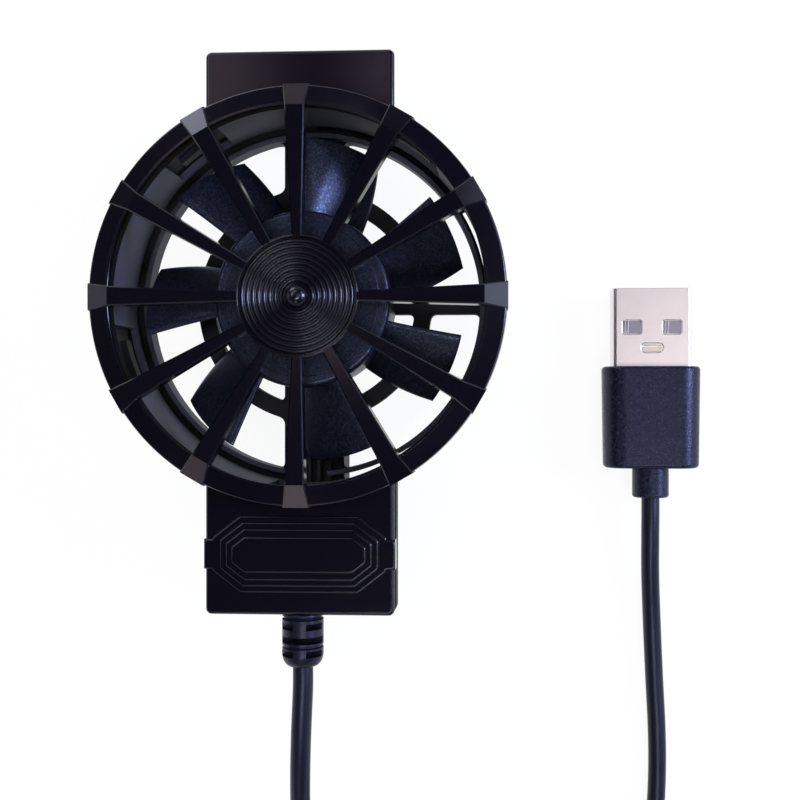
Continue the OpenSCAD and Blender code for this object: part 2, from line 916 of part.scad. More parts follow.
// Four-pole laminated core
module stator_core() {
    shoe_half = 34;
    color([0.5, 0.5, 0.52])
    at_fan()
    difference() {
        union() {
            disc(tube_r + 1.5, [stator_z, stator_z + stator_h]);
            for (i = [0 : 3])
                rotate(45 + 90 * i) {
                    block([tube_r, stator_r - shoe_t / 2], [-pole_w / 2, pole_w / 2], [stator_z, stator_z + stator_h]);
                    ring_sector([stator_r - shoe_t, stator_r], shoe_half, [stator_z, stator_z + stator_h]);
                }
        }
        disc(tube_r + press_gap, [stator_z - cut, stator_z + stator_h + cut]);
    }
}

// Insulating collars above and below the core
module stator_bobbin() {
    color([0.9, 0.9, 0.85])
    at_fan() {
        sleeve([tube_r + press_gap, tube_r + 1.4], [web_top + board_t, stator_z]);
        sleeve([tube_r + press_gap, tube_r + 1.4], [stator_z + stator_h, stator_z + stator_h + 0.6]);
    }
}

module stator_windings() {
    gap = 0.1;
    wind_t = (coil_w - pole_w) / 2;
    shoe_in_r = stator_r - shoe_t;
    r = [tube_r + 1.6, sqrt(pow(shoe_in_r, 2) - pow(coil_w / 2, 2)) - gap];
    color([0.72, 0.4, 0.2])
    at_fan()
    for (i = [0 : 3])
        rotate(45 + 90 * i)
        difference() {
            block(r, [-coil_w / 2, coil_w / 2], [stator_z - wind_t, stator_z + stator_h + wind_t]);
            block(
                [r[0] - cut, r[1] + cut], [-pole_w / 2 - gap, pole_w / 2 + gap],
                [stator_z - gap, stator_z + stator_h + gap]
            );
        }
}

module motor_board() {
    color([0.1, 0.35, 0.2])
    at_fan()
    sleeve([tube_r + 0.1, base_r - 1.2], [web_top, web_top + board_t]);
}

// Pair of thin wires that share one route, offset across the clamp
module wire_pair(route) {
    for (side = [-1, 1])
        translate([side * lead_x, 0, 0])
        tube_along(route, lead_r, 8, [1, 0, 0]);
}

module motor_leads() {
    board_edge = 1.2 - base_r;
    down_y = riser_y + riser_wall + 1;
    top_z = power_board_z + power_board[2] + 0.5;
    color([0.1, 0.1, 0.1])
    at_fan()
    wire_pair([
        [0, board_edge - 0.2, lead_z], [0, board_edge - 2, lead_z], [0, -wall_in_r, lead_z],
        [0, down_y + 1.2, lead_z + 0.2], [0, down_y + 0.3, lead_z + 1], [0, down_y, lead_z + 2.2],
        [0, down_y, top_z - 1.8], [0, down_y - 0.3, top_z - 0.7], [0, down_y - 1.2, top_z],
        [0, power_board_y + power_board[1] / 2 - 1, top_z]
    ]);
}

module power_board() {
    z = [power_board_z, power_board_z + power_board[2]];
    color([0.1, 0.35, 0.2])
    at_fan()
    translate([0, power_board_y, 0])
    slab(z)
        square([power_board[0], power_board[1]], center = true);
}

module board_parts() {
    z = power_board_z + power_board[2];
    color([0.1, 0.1, 0.1])
    at_fan()
    translate([0, power_board_y, z]) {
        block([2, 5], [-1.6, 1.6], [0, 0.9]);
        block([-5.6, -3], [0.6, 2.2], [0, 1]);
        block([-5.6, -3], [-2.4, -0.8], [0, 1]);
    }
}

module supply_leads() {
    top_z = power_board_z + power_board[2] + 0.5;
    color([0.1, 0.1, 0.1])
    at_fan()
    wire_pair([
        [0, power_board_y - power_board[1] / 2 + 1, top_z],
        [0, 1.5 - heel_reach, top_z],
        [0, slab_wall + 0.02 - heel_reach, top_z]
    ]);
}

// Ribbed strain relief, pockets at the sides and slots at front and back
module strain_relief() {
    waist_r = gland_r - 0.35;
    pocket_w = 0.85;
    core = cord_r + 0.05;
    cone_y = gland_len - 1.1;
    color([0.02, 0.02, 0.025])
    at_fan()
    translate([0, -heel_reach, split_z])
    rotate([90, 0, 0])
    difference() {
        union() {
            disc(gland_neck_r, [-slab_wall, cut]);
            rotate_extrude()
            polygon([
                [0, 0], [gland_r - 0.3, 0], [gland_r, 0.3], [gland_r - 0.1, 0.55], [waist_r, 0.75],
                [gland_r - 0.1, 1], [gland_r, 1.3], [gland_r, 4.4], [waist_r, 4.7],
                [gland_r, 5], [gland_r, cone_y], [cord_r + 0.3, gland_len], [0, gland_len]
            ]);
        }
        for (side = [-1, 1]) {
            for (y = [1.6, 5.2])
                block(
                    side > 0 ? [core, gland_r + cut] : [-gland_r - cut, -core],
                    [-gland_r, gland_r], [y, y + pocket_w]
                );
            block(
                [-gland_r, gland_r],
                side > 0 ? [core, gland_r + cut] : [-gland_r - cut, -core],
                [3.4, 3.4 + pocket_w]
            );
        }
    }
}

module cord_lead() {
    color([0.02, 0.02, 0.025])
    tube_along(lead_route, cord_r, 8);
}

module cord_coil() {
    color([0.02, 0.02, 0.025])
    tube_along(coil_route, cord_r, 6);
}

module cord_tail() {
    color([0.02, 0.02, 0.025])
    tube_along(tail_route, cord_r, 8);
}

// Flat strap round the near side of the coil
module coil_tie() {
    inner_y = [coil_in_r - coil_dip - cord_r - 0.9, coil_out_r + cord_r + 0.4];
    inner_z = [tie_t, coil_z + coil_layer + cord_r + 0.2];
    color([0.02, 0.02, 0.025])
    translate([coil_at[0], coil_at[1], 0])
    difference() {
        block(
            [-tie_w / 2, tie_w / 2], [-inner_y[1] - tie_t, tie_t - inner_y[0]],
            [0, inner_z[1] + tie_t]
        );
        block([-tie_w, tie_w], [-inner_y[1], -inner_y[0]], inner_z);
    }
}

// Places a plug piece, drawn with Z along the plug, on the surface
module at_plug() {
    translate([plug_x, 0, plug_z])
    rotate([-90, 0, 0])
    children();
}

module plug_boot() {
    color([0.03, 0.03, 0.06])
    at_plug()
    difference() {
        union() {
            slab([boot_end, boot_y])
                rounded_bar(boot_w, boot_h, 3.4);
            disc(neck_r, [neck_end, boot_end + cut]);
        }
        slab([boot_y - shell_root, boot_y + cut])
            square([shell_w + 0.1, shell_h + 0.1], center = true);
    }
}

module plug_shell() {
    window = [2.9, 2.2];
    window_x = 3.05;
    window_y = shell_tip - 4.9 - window[1];
    slot = [3.4, 1.5];
    slot_y = shell_tip - 8.4 - slot[1];
    color("silver")
    at_plug()
    difference() {
        slab([boot_y - shell_root, shell_tip])
            rounded_bar(shell_w, shell_h, 0.5);
        slab([boot_y - shell_root - cut, shell_tip + cut])
            rounded_bar(shell_w - 2 * shell_t, shell_h - 2 * shell_t, 0.3);
        for (side = [-1, 1])
            block(
                [side * window_x - window[0] / 2, side * window_x + window[0] / 2],
                [-shell_h, shell_h], [window_y, window_y + window[1]]
            );
        translate([0, 0, slot_y + slot[1] / 2])
        rotate([90, 0, 0])
        slab([0, shell_h])
            rounded_bar(slot[0], slot[1], slot[1] / 2 - 0.01);
    }
}

module plug_tongue() {
    half = shell_w / 2 - shell_t - 0.2;
    floor = shell_h / 2 - shell_t - 0.05;
    color([0.9, 0.9, 0.88])
    at_plug()
    block([-half, half], [-floor, plastic_h - floor], [boot_y - shell_root + 0.1, shell_tip - 0.4]);
}

module plug_contacts() {
    face = plastic_h - (shell_h / 2 - shell_t - 0.05);
    contact = [1.1, 0.2];
    color([0.85, 0.7, 0.3])
    at_plug()
    for (x = [-3.5, -1, 1, 3.5])
        block(
            [x - contact[0] / 2, x + contact[0] / 2], [face, face + contact[1]],
            [boot_y - shell_root + 0.4, shell_tip - 1.2]
        );
}

front_guard();
hub_cap();
fan_frame();
spine_cover();
heel_cover();
grip_plate();
cover_screws();
rest_pads();
heel_pad();
sliding_jaw();
jaw_cover();
jaw_pad();
spring_pin();
return_spring();
impeller();
rotor_yoke();
ring_magnet();
shaft();
retaining_clip();
sleeve_bearing();
thrust_disc();
bearing_plug();
stator_core();
stator_bobbin();
stator_windings();
motor_board();
motor_leads();
power_board();
board_parts();
supply_leads();
strain_relief();
cord_lead();
cord_coil();
cord_tail();
coil_tie();
plug_boot();
plug_shell();
plug_tongue();
plug_contacts();
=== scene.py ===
import json
import math

import bmesh
import bpy
from mathutils import Matrix, Vector


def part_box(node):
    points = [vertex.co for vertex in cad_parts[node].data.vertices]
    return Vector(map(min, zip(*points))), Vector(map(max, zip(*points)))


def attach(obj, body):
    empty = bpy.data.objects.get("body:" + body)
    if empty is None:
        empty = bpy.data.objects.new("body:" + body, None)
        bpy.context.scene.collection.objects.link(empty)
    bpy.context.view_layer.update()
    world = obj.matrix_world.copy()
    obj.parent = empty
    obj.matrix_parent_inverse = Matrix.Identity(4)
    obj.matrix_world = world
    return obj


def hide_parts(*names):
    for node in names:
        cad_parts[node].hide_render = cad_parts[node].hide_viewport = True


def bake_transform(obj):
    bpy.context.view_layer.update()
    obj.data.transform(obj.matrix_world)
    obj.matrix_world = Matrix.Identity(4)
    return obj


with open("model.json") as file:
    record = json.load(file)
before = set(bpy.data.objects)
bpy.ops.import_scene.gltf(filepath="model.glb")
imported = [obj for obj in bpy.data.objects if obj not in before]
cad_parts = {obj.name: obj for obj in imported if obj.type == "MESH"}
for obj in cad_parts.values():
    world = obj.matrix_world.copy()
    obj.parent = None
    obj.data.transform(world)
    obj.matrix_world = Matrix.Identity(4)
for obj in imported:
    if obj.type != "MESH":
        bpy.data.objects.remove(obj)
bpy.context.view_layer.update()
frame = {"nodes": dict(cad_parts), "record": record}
mm = 0.001
scene = bpy.context.scene
cadNodes = frame["nodes"]
slotOf = {row["node"]: row["material_slot"] for row in frame["record"]["subparts"]}
guardLow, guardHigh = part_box("front_guard")
fanAxis = Vector(((guardLow[0] + guardHigh[0]) / 2, (guardLow[1] + guardHigh[1]) / 2, 0))
print("frame:", len(cadNodes), "nodes, fan axis at", [round(v / mm, 2) for v in fanAxis])

# camera at the photo's view, places in millimetres, turns in degrees
cameraView = {
    "place": (26.69, -9.05, 176.01),
    "turn": (0.03, 3.11, 0),
    "lens": 49.5,
    "shiftX": -0.05,
}


def makeCamera(view):
    data = bpy.data.cameras.new("photoCamera")
    data.sensor_width = 36.0
    data.lens = view["lens"]
    data.shift_x = view["shiftX"]
    data.clip_start = 0.01
    data.clip_end = 20.0
    camera = bpy.data.objects.new("photoCamera", data)
    camera.location = Vector(view["place"]) * mm
    camera.rotation_euler = [math.radians(angle) for angle in view["turn"]]
    scene.collection.objects.link(camera)
    scene.camera = camera


makeCamera(cameraView)
print("camera: lens", cameraView["lens"])

# finishes: shared node groups first, each with a height, a roughness and a mask; noises that stay the
# same for all finishes are (scale, detail, roughness)
noiseSize = {"smear": (170.0, 6.0, 0.65), "soft": (900.0, 4.0, 0.5), "stain": (420.0, 6.0, 0.7)}
dustScale = 260.0
softGrainShare = 0.7


def newGroup(name, inputs, mask):
    group = bpy.data.node_groups.new(name, "ShaderNodeTree")
    for label, value in inputs:
        socket = group.interface.new_socket(label, in_out="INPUT", socket_type="NodeSocketFloat")
        socket.default_value = value
    for label in ("Height", "Roughness", mask):
        group.interface.new_socket(label, in_out="OUTPUT", socket_type="NodeSocketFloat")
    enter = group.nodes.new("NodeGroupInput").outputs
    leave = group.nodes.new("NodeGroupOutput").inputs
    return group, enter, leave, addNode(group, "ShaderNodeTexCoord").outputs["Object"]


def addNode(tree, kind, inputs=None, **settings):
    node = tree.nodes.new(kind)
    for key, value in settings.items():
        setattr(node, key, value)
    for key, value in (inputs or {}).items():
        if isinstance(value, bpy.types.NodeSocket):
            tree.links.new(value, node.inputs[key])
        else:
            node.inputs[key].default_value = value
    return node


def mathNode(tree, operation, first, second=0.0, third=0.0):
    node = addNode(tree, "ShaderNodeMath", {0: first, 1: second, 2: third}, operation=operation)
    return node.outputs[0]


def noise(tree, place, scale, detail, rough=0.5):
    node = addNode(tree, "ShaderNodeTexNoise",
                   {"Vector": place, "Scale": scale, "Detail": detail, "Roughness": rough})
    return node.outputs[0]


def closeGroup(group, enter, leave, height, pattern, mask):
    # the pattern makes the gloss uneven
    uneven = mathNode(group, "SUBTRACT", pattern, 0.5)
    gloss = mathNode(group, "MULTIPLY_ADD", uneven, enter["Gloss Spread"], enter["Gloss"])
    for value, socket in zip((height, gloss, mask), leave):
        group.links.new(value, socket)
    return group


def mouldedGroup():
    # moulded plastic: slow waves, fine grain, uneven gloss and a few dust specks
    group, enter, leave, place = newGroup(
        "mouldedFinish",
        [("Wave Scale", 60), ("Grain Scale", 2500), ("Grain Share", 0.3), ("Gloss", 0.2),
         ("Gloss Spread", 0.08), ("Dust Size", 0.06)],
        "Dust",
    )
    wave = noise(group, place, enter["Wave Scale"], 2.0)
    grain = noise(group, place, enter["Grain Scale"], 3.0)
    smear = noise(group, place, *noiseSize["smear"])
    cells = addNode(group, "ShaderNodeTexVoronoi", {"Vector": place, "Scale": dustScale}).outputs["Distance"]
    height = mathNode(group, "MULTIPLY_ADD", grain, enter["Grain Share"], wave)
    dust = mathNode(group, "LESS_THAN", cells, enter["Dust Size"])
    return closeGroup(group, enter, leave, height, smear, dust)


def sparkleGroup():
    # spark-eroded satin: fine grain in small cells of uneven gloss, of which the mask picks a few
    group, enter, leave, place = newGroup(
        "sparkleFinish",
        [("Facet Scale", 5200), ("Gloss", 0.42), ("Gloss Spread", 0.2), ("Rarity", 8)],
        "Glint",
    )
    cells = addNode(group, "ShaderNodeTexVoronoi", {"Vector": place, "Scale": enter["Facet Scale"]})
    level = addNode(group, "ShaderNodeSeparateColor", {"Color": cells.outputs["Color"]}).outputs[0]
    soft = noise(group, place, *noiseSize["soft"])
    grain = noise(group, place, enter["Facet Scale"], 2.0)
    height = mathNode(group, "MULTIPLY_ADD", grain, softGrainShare, soft)
    glint = mathNode(group, "POWER", level, enter["Rarity"])
    return closeGroup(group, enter, leave, height, level, glint)


def drawnGroup():
    # drawn or rolled metal: long fine lines and small stains
    group, enter, leave, place = newGroup(
        "drawnFinish",
        [("Across", 9000), ("Along", 300), ("Gloss", 0.25), ("Gloss Spread", 0.15)],
        "Stain",
    )
    stretch = addNode(group, "ShaderNodeCombineXYZ",
                      {0: enter["Across"], 1: enter["Along"], 2: enter["Across"]})
    lined = addNode(group, "ShaderNodeVectorMath", {0: place, 1: stretch.outputs[0]}, operation="MULTIPLY")
    lines = noise(group, lined.outputs[0], 1.0, 4.0)
    stain = noise(group, place, *noiseSize["stain"])
    return closeGroup(group, enter, leave, lines, stain, stain)


groups = {"moulded": mouldedGroup(), "sparkle": sparkleGroup(), "drawn": drawnGroup()}


def baseMaterial(name, row):
    material = bpy.data.materials.new(name)
    material.use_nodes = True
    tree = material.node_tree
    shader = tree.nodes["Principled BSDF"]
    finish = addNode(tree, "ShaderNodeGroup", node_tree=groups[row["group"]])
    for socket, value in zip(finish.inputs, row["values"]):
        socket.default_value = value
    height, roughness, mask = finish.outputs
    plain, marked = ((*colour, 1) for colour in row["colours"])
    # sockets 6 and 7 are the two colours
    mixed = addNode(tree, "ShaderNodeMix", {"Factor": mask, 6: plain, 7: marked}, data_type="RGBA")
    strength, distance = row["bump"]
    lift = addNode(tree, "ShaderNodeBump", {"Height": height, "Strength": strength, "Distance": distance})
    feeds = {"Base Color": mixed.outputs[2], "Roughness": roughness, "Normal": lift.outputs[0]}
    if row.get("flakes"):
        feeds["Metallic"] = mask
    for key, source in feeds.items():
        tree.links.new(source, shader.inputs[key])
    for key, value in row["shader"].items():
        shader.inputs[key].default_value = value
    material.diffuse_color = plain
    return material


# values are the group's inputs in their order; colours are the plain one and the one where the mask
# shows, which is metal if there are flakes; bump is (strength, distance in metres)
finishes = {
    "gloss_black": {
        "group": "moulded", "values": (70, 1500, 0.05, 0.13, 0.06, 0.022), "bump": (0.35, 5e-5),
        "colours": [(0.0024, 0.002, 0.0046), (0.03, 0.03, 0.036)],
        "shader": {"Specular Tint": (0.9, 0.88, 1.0, 1)},
    },
    "cap_black": {
        "group": "moulded", "values": (150, 2500, 0.1, 0.17, 0.07, 0.02), "bump": (0.3, 3e-5),
        "colours": [(0.003, 0.0026, 0.0055), (0.03, 0.03, 0.037)],
        "shader": {"Specular Tint": (0.9, 0.9, 1.0, 1)},
    },
    "frame_black": {
        "group": "moulded", "values": (120, 3000, 0.2, 0.58, 0.12, 0.02), "bump": (0.3, 3e-5),
        "colours": [(0.004, 0.004, 0.006), (0.025, 0.025, 0.03)],
        "shader": {"Specular IOR Level": 0.3},
    },
    # lighter copy of the black plastic: painted sheen on the duct wall and on the rear hoop
    "painted_sheen_grey": {
        "group": "moulded", "values": (90, 2600, 0.2, 0.6, 0.1, 0.02), "bump": (0.25, 3e-5),
        "colours": [(0.034, 0.034, 0.054), (0.06, 0.06, 0.08)],
        "shader": {"Specular Tint": (0.85, 0.87, 1.0, 1)},
    },
    "impeller_black": {
        "group": "sparkle", "values": (6200, 0.34, -0.1, 3), "bump": (0.26, 4e-5), "flakes": True,
        "colours": [(0.0025, 0.0026, 0.0056), (0.05, 0.058, 0.104)],
        "shader": {"Specular IOR Level": 0.36, "Specular Tint": (0.66, 0.72, 1.0, 1)},
    },
    "soft_pad": {
        "group": "sparkle", "values": (3500, 0.72, 0.15), "bump": (0.5, 5e-5),
        "colours": [(0.016, 0.016, 0.017), (0.03, 0.03, 0.032)], "shader": {"IOR": 1.42},
    },
    "steel": {
        "group": "drawn", "values": (7000, 500, 0.3, 0.2), "bump": (0.25, 2e-5),
        "colours": [(0.56, 0.56, 0.58), (0.4, 0.4, 0.41)], "shader": {"Metallic": 1.0},
    },
    "plug_metal": {
        "group": "drawn", "values": (6000, 1500, 0.3, 0.1), "bump": (0.06, 1e-5),
        "colours": [(0.86, 0.79, 0.79), (0.78, 0.71, 0.72)], "shader": {"Metallic": 1.0},
    },
    # spring metal, made darker than the shell: painted shade inside the windows
    "spring_metal_painted_shade": {
        "group": "drawn", "values": (5000, 900, 0.38, 0.12), "bump": (0.15, 2e-5),
        "colours": [(0.36, 0.34, 0.39), (0.26, 0.25, 0.29)], "shader": {"Metallic": 1.0},
    },
    # white plastic darkened to tan: painted shade inside the plug's slot
    "tan_painted_shade": {
        "group": "moulded", "values": (300, 3000, 0.3, 0.4, 0.1, 0.03), "bump": (0.3, 3e-5),
        "colours": [(0.5, 0.4, 0.32), (0.4, 0.32, 0.26)], "shader": {"IOR": 1.5},
    },
    "magnet": {
        "group": "sparkle", "values": (6000, 0.6, 0.1), "bump": (0.4, 3e-5),
        "colours": [(0.05, 0.05, 0.055), (0.12, 0.12, 0.13)], "shader": {"IOR": 1.8},
    },
    "bronze": {
        "group": "drawn", "values": (5000, 5000, 0.4, 0.2), "bump": (0.4, 3e-5),
        "colours": [(0.5, 0.32, 0.14), (0.36, 0.22, 0.1)], "shader": {"Metallic": 1.0},
    },
    "copper": {
        "group": "drawn", "values": (300, 9000, 0.3, 0.1), "bump": (0.8, 1e-4),
        "colours": [(0.62, 0.26, 0.11), (0.5, 0.19, 0.08)], "shader": {"Metallic": 0.9},
    },
    "gold": {
        "group": "drawn", "values": (6000, 400, 0.25, 0.12), "bump": (0.2, 2e-5),
        "colours": [(0.8, 0.58, 0.24), (0.66, 0.46, 0.18)], "shader": {"Metallic": 1.0},
    },
    "white_plastic": {
        "group": "moulded", "values": (200, 3000, 0.3, 0.45, 0.1, 0.03), "bump": (0.3, 3e-5),
        "colours": [(0.78, 0.76, 0.71), (0.6, 0.58, 0.54)], "shader": {"IOR": 1.5},
    },
    "board_green": {
        "group": "moulded", "values": (500, 1200, 0.5, 0.35, 0.15, 0.2), "bump": (0.4, 4e-5),
        "colours": [(0.02, 0.12, 0.05), (0.06, 0.22, 0.09)], "shader": {"IOR": 1.5},
    },
    "lead_black": {
        "group": "moulded", "values": (300, 3500, 0.3, 0.4, 0.1, 0.03), "bump": (0.3, 3e-5),
        "colours": [(0.012, 0.012, 0.014), (0.03, 0.03, 0.033)], "shader": {"IOR": 1.5},
    },
    "cord_black": {
        "group": "moulded", "values": (260, 4200, 0.5, 0.36, 0.12, 0.03), "bump": (0.4, 5e-5),
        "colours": [(0.0042, 0.004, 0.0092), (0.019, 0.018, 0.027)],
        "shader": {"Specular IOR Level": 0.38, "Specular Tint": (0.66, 0.66, 1.0, 1)},
    },
    # near-black and matte: painted shade on the ring above the snap windows and in the relief's pockets and
    # slot
    "painted_shade_black": {
        "group": "moulded", "values": (260, 4200, 0.5, 0.85, 0.1, 0), "bump": (0.3, 3e-5),
        "colours": [(0.001, 0.001, 0.0015), (0.001, 0.001, 0.0015)],
        "shader": {"Specular IOR Level": 0.1},
    },
    "tie_black": {
        "group": "drawn", "values": (4000, 4000, 0.8, 0.1), "bump": (0.9, 2e-4),
        "colours": [(0.02, 0.02, 0.022), (0.035, 0.035, 0.038)], "shader": {"Sheen Weight": 0.2},
    },
    # the marked colour lightens a few random cells: painted glints of the boot's glitter
    "boot_black": {
        "group": "sparkle", "values": (4800, 0.36, 0.24), "bump": (0.8, 5e-5),
        "colours": [(0.0038, 0.0039, 0.0115), (0.02, 0.02, 0.044)],
        "shader": {"Specular IOR Level": 0.36, "Specular Tint": (0.64, 0.68, 1.0, 1)},
    },
}
materials = {slot: baseMaterial(slot, row) for slot, row in finishes.items()}
print("finishes:", len(materials))

# mesh helpers, all in millimetres


def boxOf(node):
    # lowest and highest corner of a solid
    return [Vector(corner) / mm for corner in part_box(node)]


def polar(radius, angle, z):
    return (radius * math.cos(angle), radius * math.sin(angle), z)


def angles(steps, sweep=math.pi / 2):
    # from zero to the sweep, both included
    return [sweep * k / steps for k in range(steps + 1)]


def spin(degrees):
    return Matrix.Rotation(math.radians(degrees), 4, "Z")


def mix(first, last, share):
    return first + (last - first) * share


def roundCorners(corners, steps=4):
    # corners are (x, y, radius); gives the outline with each corner turned into an arc
    straight = math.radians(88)
    longest = 0.48
    outline = []
    for i, (x, y, radius) in enumerate(corners):
        here = Vector((x, y))
        before = Vector(corners[i - 1][:2]) - here
        after = Vector(corners[(i + 1) % len(corners)][:2]) - here
        half = before.angle(after) / 2
        if radius <= 0 or half > straight:
            outline.append(here)
            continue
        reach = min(radius / math.tan(half), longest * before.length, longest * after.length)
        true = reach * math.tan(half)
        middle = here + (before.normalized() + after.normalized()).normalized() * (true / math.sin(half))
        start = here + before.normalized() * reach - middle
        end = here + after.normalized() * reach - middle
        first = math.atan2(start.y, start.x)
        sweep = math.atan2(end.y, end.x) - first
        sweep = (sweep + math.pi) % (2 * math.pi) - math.pi
        for angle in angles(steps, sweep):
            outline.append(middle + Vector((math.cos(first + angle), math.sin(first + angle))) * true)
    return outline


def roundedRectangle(low, high, radius, steps=4):
    corners = [(low[0], low[1]), (high[0], low[1]), (high[0], high[1]), (low[0], high[1])]
    return roundCorners([(x, y, radius) for x, y in corners], steps)


def inset(outline, amount):
    # moves a counter-clockwise outline inwards, and sharp corners no further than the limit lets them
    limit = 0.4
    moved = []
    for i, point in enumerate(outline):
        before = (point - outline[i - 1]).normalized()
        after = (outline[(i + 1) % len(outline)] - point).normalized()
        side = Vector((-before.y - after.y, before.x + after.x))
        moved.append(point + side * amount / max(1 + before.dot(after), limit))
    return moved


def skin(bm, loops, capped=True):
    rows = [[bm.verts.new(point) for point in loop] for loop in loops]
    count = len(rows[0])
    for low, high in zip(rows, rows[1:]):
        for k in range(count):
            n = (k + 1) % count
            bm.faces.new((low[k], low[n], high[n], high[k]))
    if capped:
        bm.faces.new(list(reversed(rows[0])))
        bm.faces.new(rows[-1])
    return rows


def prism(bm, outline, low, high, edgeLow, edgeHigh, steps=4, draft=0.0):
    # outline lifted from low to high, with both rims rounded; draft draws the lower rim in
    rows = []
    for turn in angles(steps):
        rows.append((draft + edgeLow * (1 - math.sin(turn)), low + edgeLow * (1 - math.cos(turn))))
    for turn in angles(steps):
        rows.append((edgeHigh * (1 - math.cos(turn)), high - edgeHigh * (1 - math.sin(turn))))
    skin(bm, [[(p.x, p.y, z) for p in inset(outline, deep)] for deep, z in rows])


def lathe(bm, profile, segments=192):
    # closed profile of (radius, height) turned round the Z axis; a point on the axis stays one point
    circle = angles(segments, 2 * math.pi)[:-1]
    rings = []
    for radius, height in profile:
        around = circle if radius > 1e-6 else [0]
        rings.append([bm.verts.new(polar(radius, angle, height)) for angle in around])
    for low, high in zip(rings, rings[1:] + rings[:1]):
        if len(low) == 1 and len(high) == 1:
            continue
        for k in range(segments):
            n = (k + 1) % segments
            corners = [low[k % len(low)], low[n % len(low)], high[n % len(high)], high[k % len(high)]]
            bm.faces.new(list(dict.fromkeys(corners)))


def sector(bm, profile, start, end, steps):
    # part of a turned ring, from one angle to another in degrees
    loops = []
    for k in range(steps + 1):
        angle = math.radians(mix(start, end, k / steps))
        loops.append([polar(radius, angle, z) for radius, z in profile])
    skin(bm, loops)


def addCopies(bm, source, moves):
    # puts a copy of a small mesh into a larger one for each move
    holder = bpy.data.meshes.new("holder")
    source.to_mesh(holder)
    source.free()
    for move in moves:
        count = len(bm.verts)
        bm.from_mesh(holder)
        bm.verts.ensure_lookup_table()
        bmesh.ops.transform(bm, matrix=move, verts=bm.verts[count:])
    bpy.data.meshes.remove(holder)


def roundedBox(bm, low, high, edge):
    box = bmesh.new()
    bmesh.ops.create_cube(box, size=1)
    size = Vector(high) - Vector(low)
    middle = (Vector(high) + Vector(low)) / 2
    bmesh.ops.transform(box, matrix=Matrix.Translation(middle) @ Matrix.Diagonal((*size, 1)), verts=box.verts)
    bmesh.ops.bevel(box, geom=box.edges[:], offset=edge, segments=3, profile=0.5, affect="EDGES")
    addCopies(bm, box, [Matrix()])


def makePiece(name, bm, body, slot, replaced, origin=fanAxis, turn=Matrix(), sharp=38, finish=None):
    bmesh.ops.recalc_face_normals(bm, faces=bm.faces)
    move = Matrix.Translation(origin) @ Matrix.Scale(mm, 4) @ turn
    bmesh.ops.transform(bm, matrix=move, verts=bm.verts)
    mesh = bpy.data.meshes.new(name)
    bm.to_mesh(mesh)
    bm.free()
    mesh.polygons.foreach_set("use_smooth", [True] * len(mesh.polygons))
    mesh.set_sharp_from_angle(angle=math.radians(sharp))
    piece = bpy.data.objects.new(name, mesh)
    scene.collection.objects.link(piece)
    mesh.materials.append(materials[finish or slot])
    flats = piece.modifiers.new("flats", "WEIGHTED_NORMAL")
    flats.keep_sharp = True
    if body:
        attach(piece, body)
    if replaced:
        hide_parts(*replaced)
    return piece


# cord: the route's points are in millimetres
cordRun = {
    "diameter": 2.8,
    "lead": [
        (0, -45, 27.8), (0, -48, 27.8), (-0.3, -54, 27.5), (-0.6, -60, 26.6), (-0.9, -66, 24.6),
        (-1, -72, 21.2), (-0.8, -78, 16.4), (-0.2, -84, 11), (0.7, -90, 6), (1.5, -94.5, 3),
        (1.8, -96.7, 2), (1.8, -99.2, 2),
    ],
    "coilAt": (25, -102), "turns": 4, "climb": 0.5, "pitch": 3.3, "innerRadius": 10, "dip": 0.7,
    "lowZ": 2.0, "ringsPerTurn": 24, "smoothParts": 4, "roundness": 6,
    "tail": [
        (48.2, -99.2, 5.3), (48.2, -96.7, 5.3), (48.8, -90, 3.6), (49.8, -84, 2), (50.7, -78, 1.4),
        (51.2, -72, 1.4), (51.4, -66, 1.4), (51.3, -60, 1.4), (51, -54, 1.4), (50.7, -48, 1.6),
        (50.4, -42, 2.1), (50.1, -36, 3), (50, -30, 3.8), (50, -27, 4), (50, -24, 4),
    ],
}


def coilPoint(run, turn):
    # a flat spiral inwards, a climb by one pitch, and a flat spiral outwards above the first
    turns, climb = run["turns"], run["climb"]
    share = min(max((turn - turns) / climb, 0), 1)
    radius = run["innerRadius"] - run["dip"] * math.sin(math.pi * share)
    radius += run["pitch"] * max(turns - turn, turn - turns - climb, 0)
    rise = run["pitch"] * (1 - math.cos(math.pi * share)) / 2
    x, y, z = polar(radius, math.pi + 2 * math.pi * turn, run["lowZ"] + rise)
    return (run["coilAt"][0] + x, run["coilAt"][1] + y, z)


def smoothRoute(points, parts):
    # rounds the stretch between neighbours with a cubic through all the points
    route = []
    last = len(points) - 1
    for i in range(last):
        a, b, c, d = (points[min(max(k, 0), last)] for k in (i - 1, i, i + 1, i + 2))
        for k in range(parts):
            t = k / parts
            route.append(0.5 * (2 * b + (c - a) * t + (2 * a - 5 * b + 4 * c - d) * t * t
                                + (3 * b - a - 3 * c + d) * t ** 3))
    route.append(points[-1])
    return route


def makeCord(run):
    steps = int((2 * run["turns"] + run["climb"]) * run["ringsPerTurn"])
    coil = [coilPoint(run, i / run["ringsPerTurn"]) for i in range(steps + 1)]
    points = [Vector(p) for p in run["lead"] + coil + run["tail"]]
    route = smoothRoute(points, run["smoothParts"])
    data = bpy.data.curves.new("powerCord", "CURVE")
    data.dimensions = "3D"
    data.bevel_depth = run["diameter"] / 2 * mm
    data.bevel_resolution = run["roundness"]
    data.use_fill_caps = True
    spline = data.splines.new("POLY")
    spline.points.add(len(route) - 1)
    for point, place in zip(spline.points, route):
        point.co = (*(place * mm), 1)
    spline.use_smooth = True
    data.materials.append(materials["cord_black"])
    piece = bpy.data.objects.new("powerCord", data)
    scene.collection.objects.link(piece)
    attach(piece, "frame")
    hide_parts("cord_lead", "cord_coil", "cord_tail")
    length = sum((b - a).length for a, b in zip(route, route[1:])) * mm
    return piece, length


powerCord, cordLength = makeCord(cordRun)
print("cord: length", round(cordLength, 4), "m")

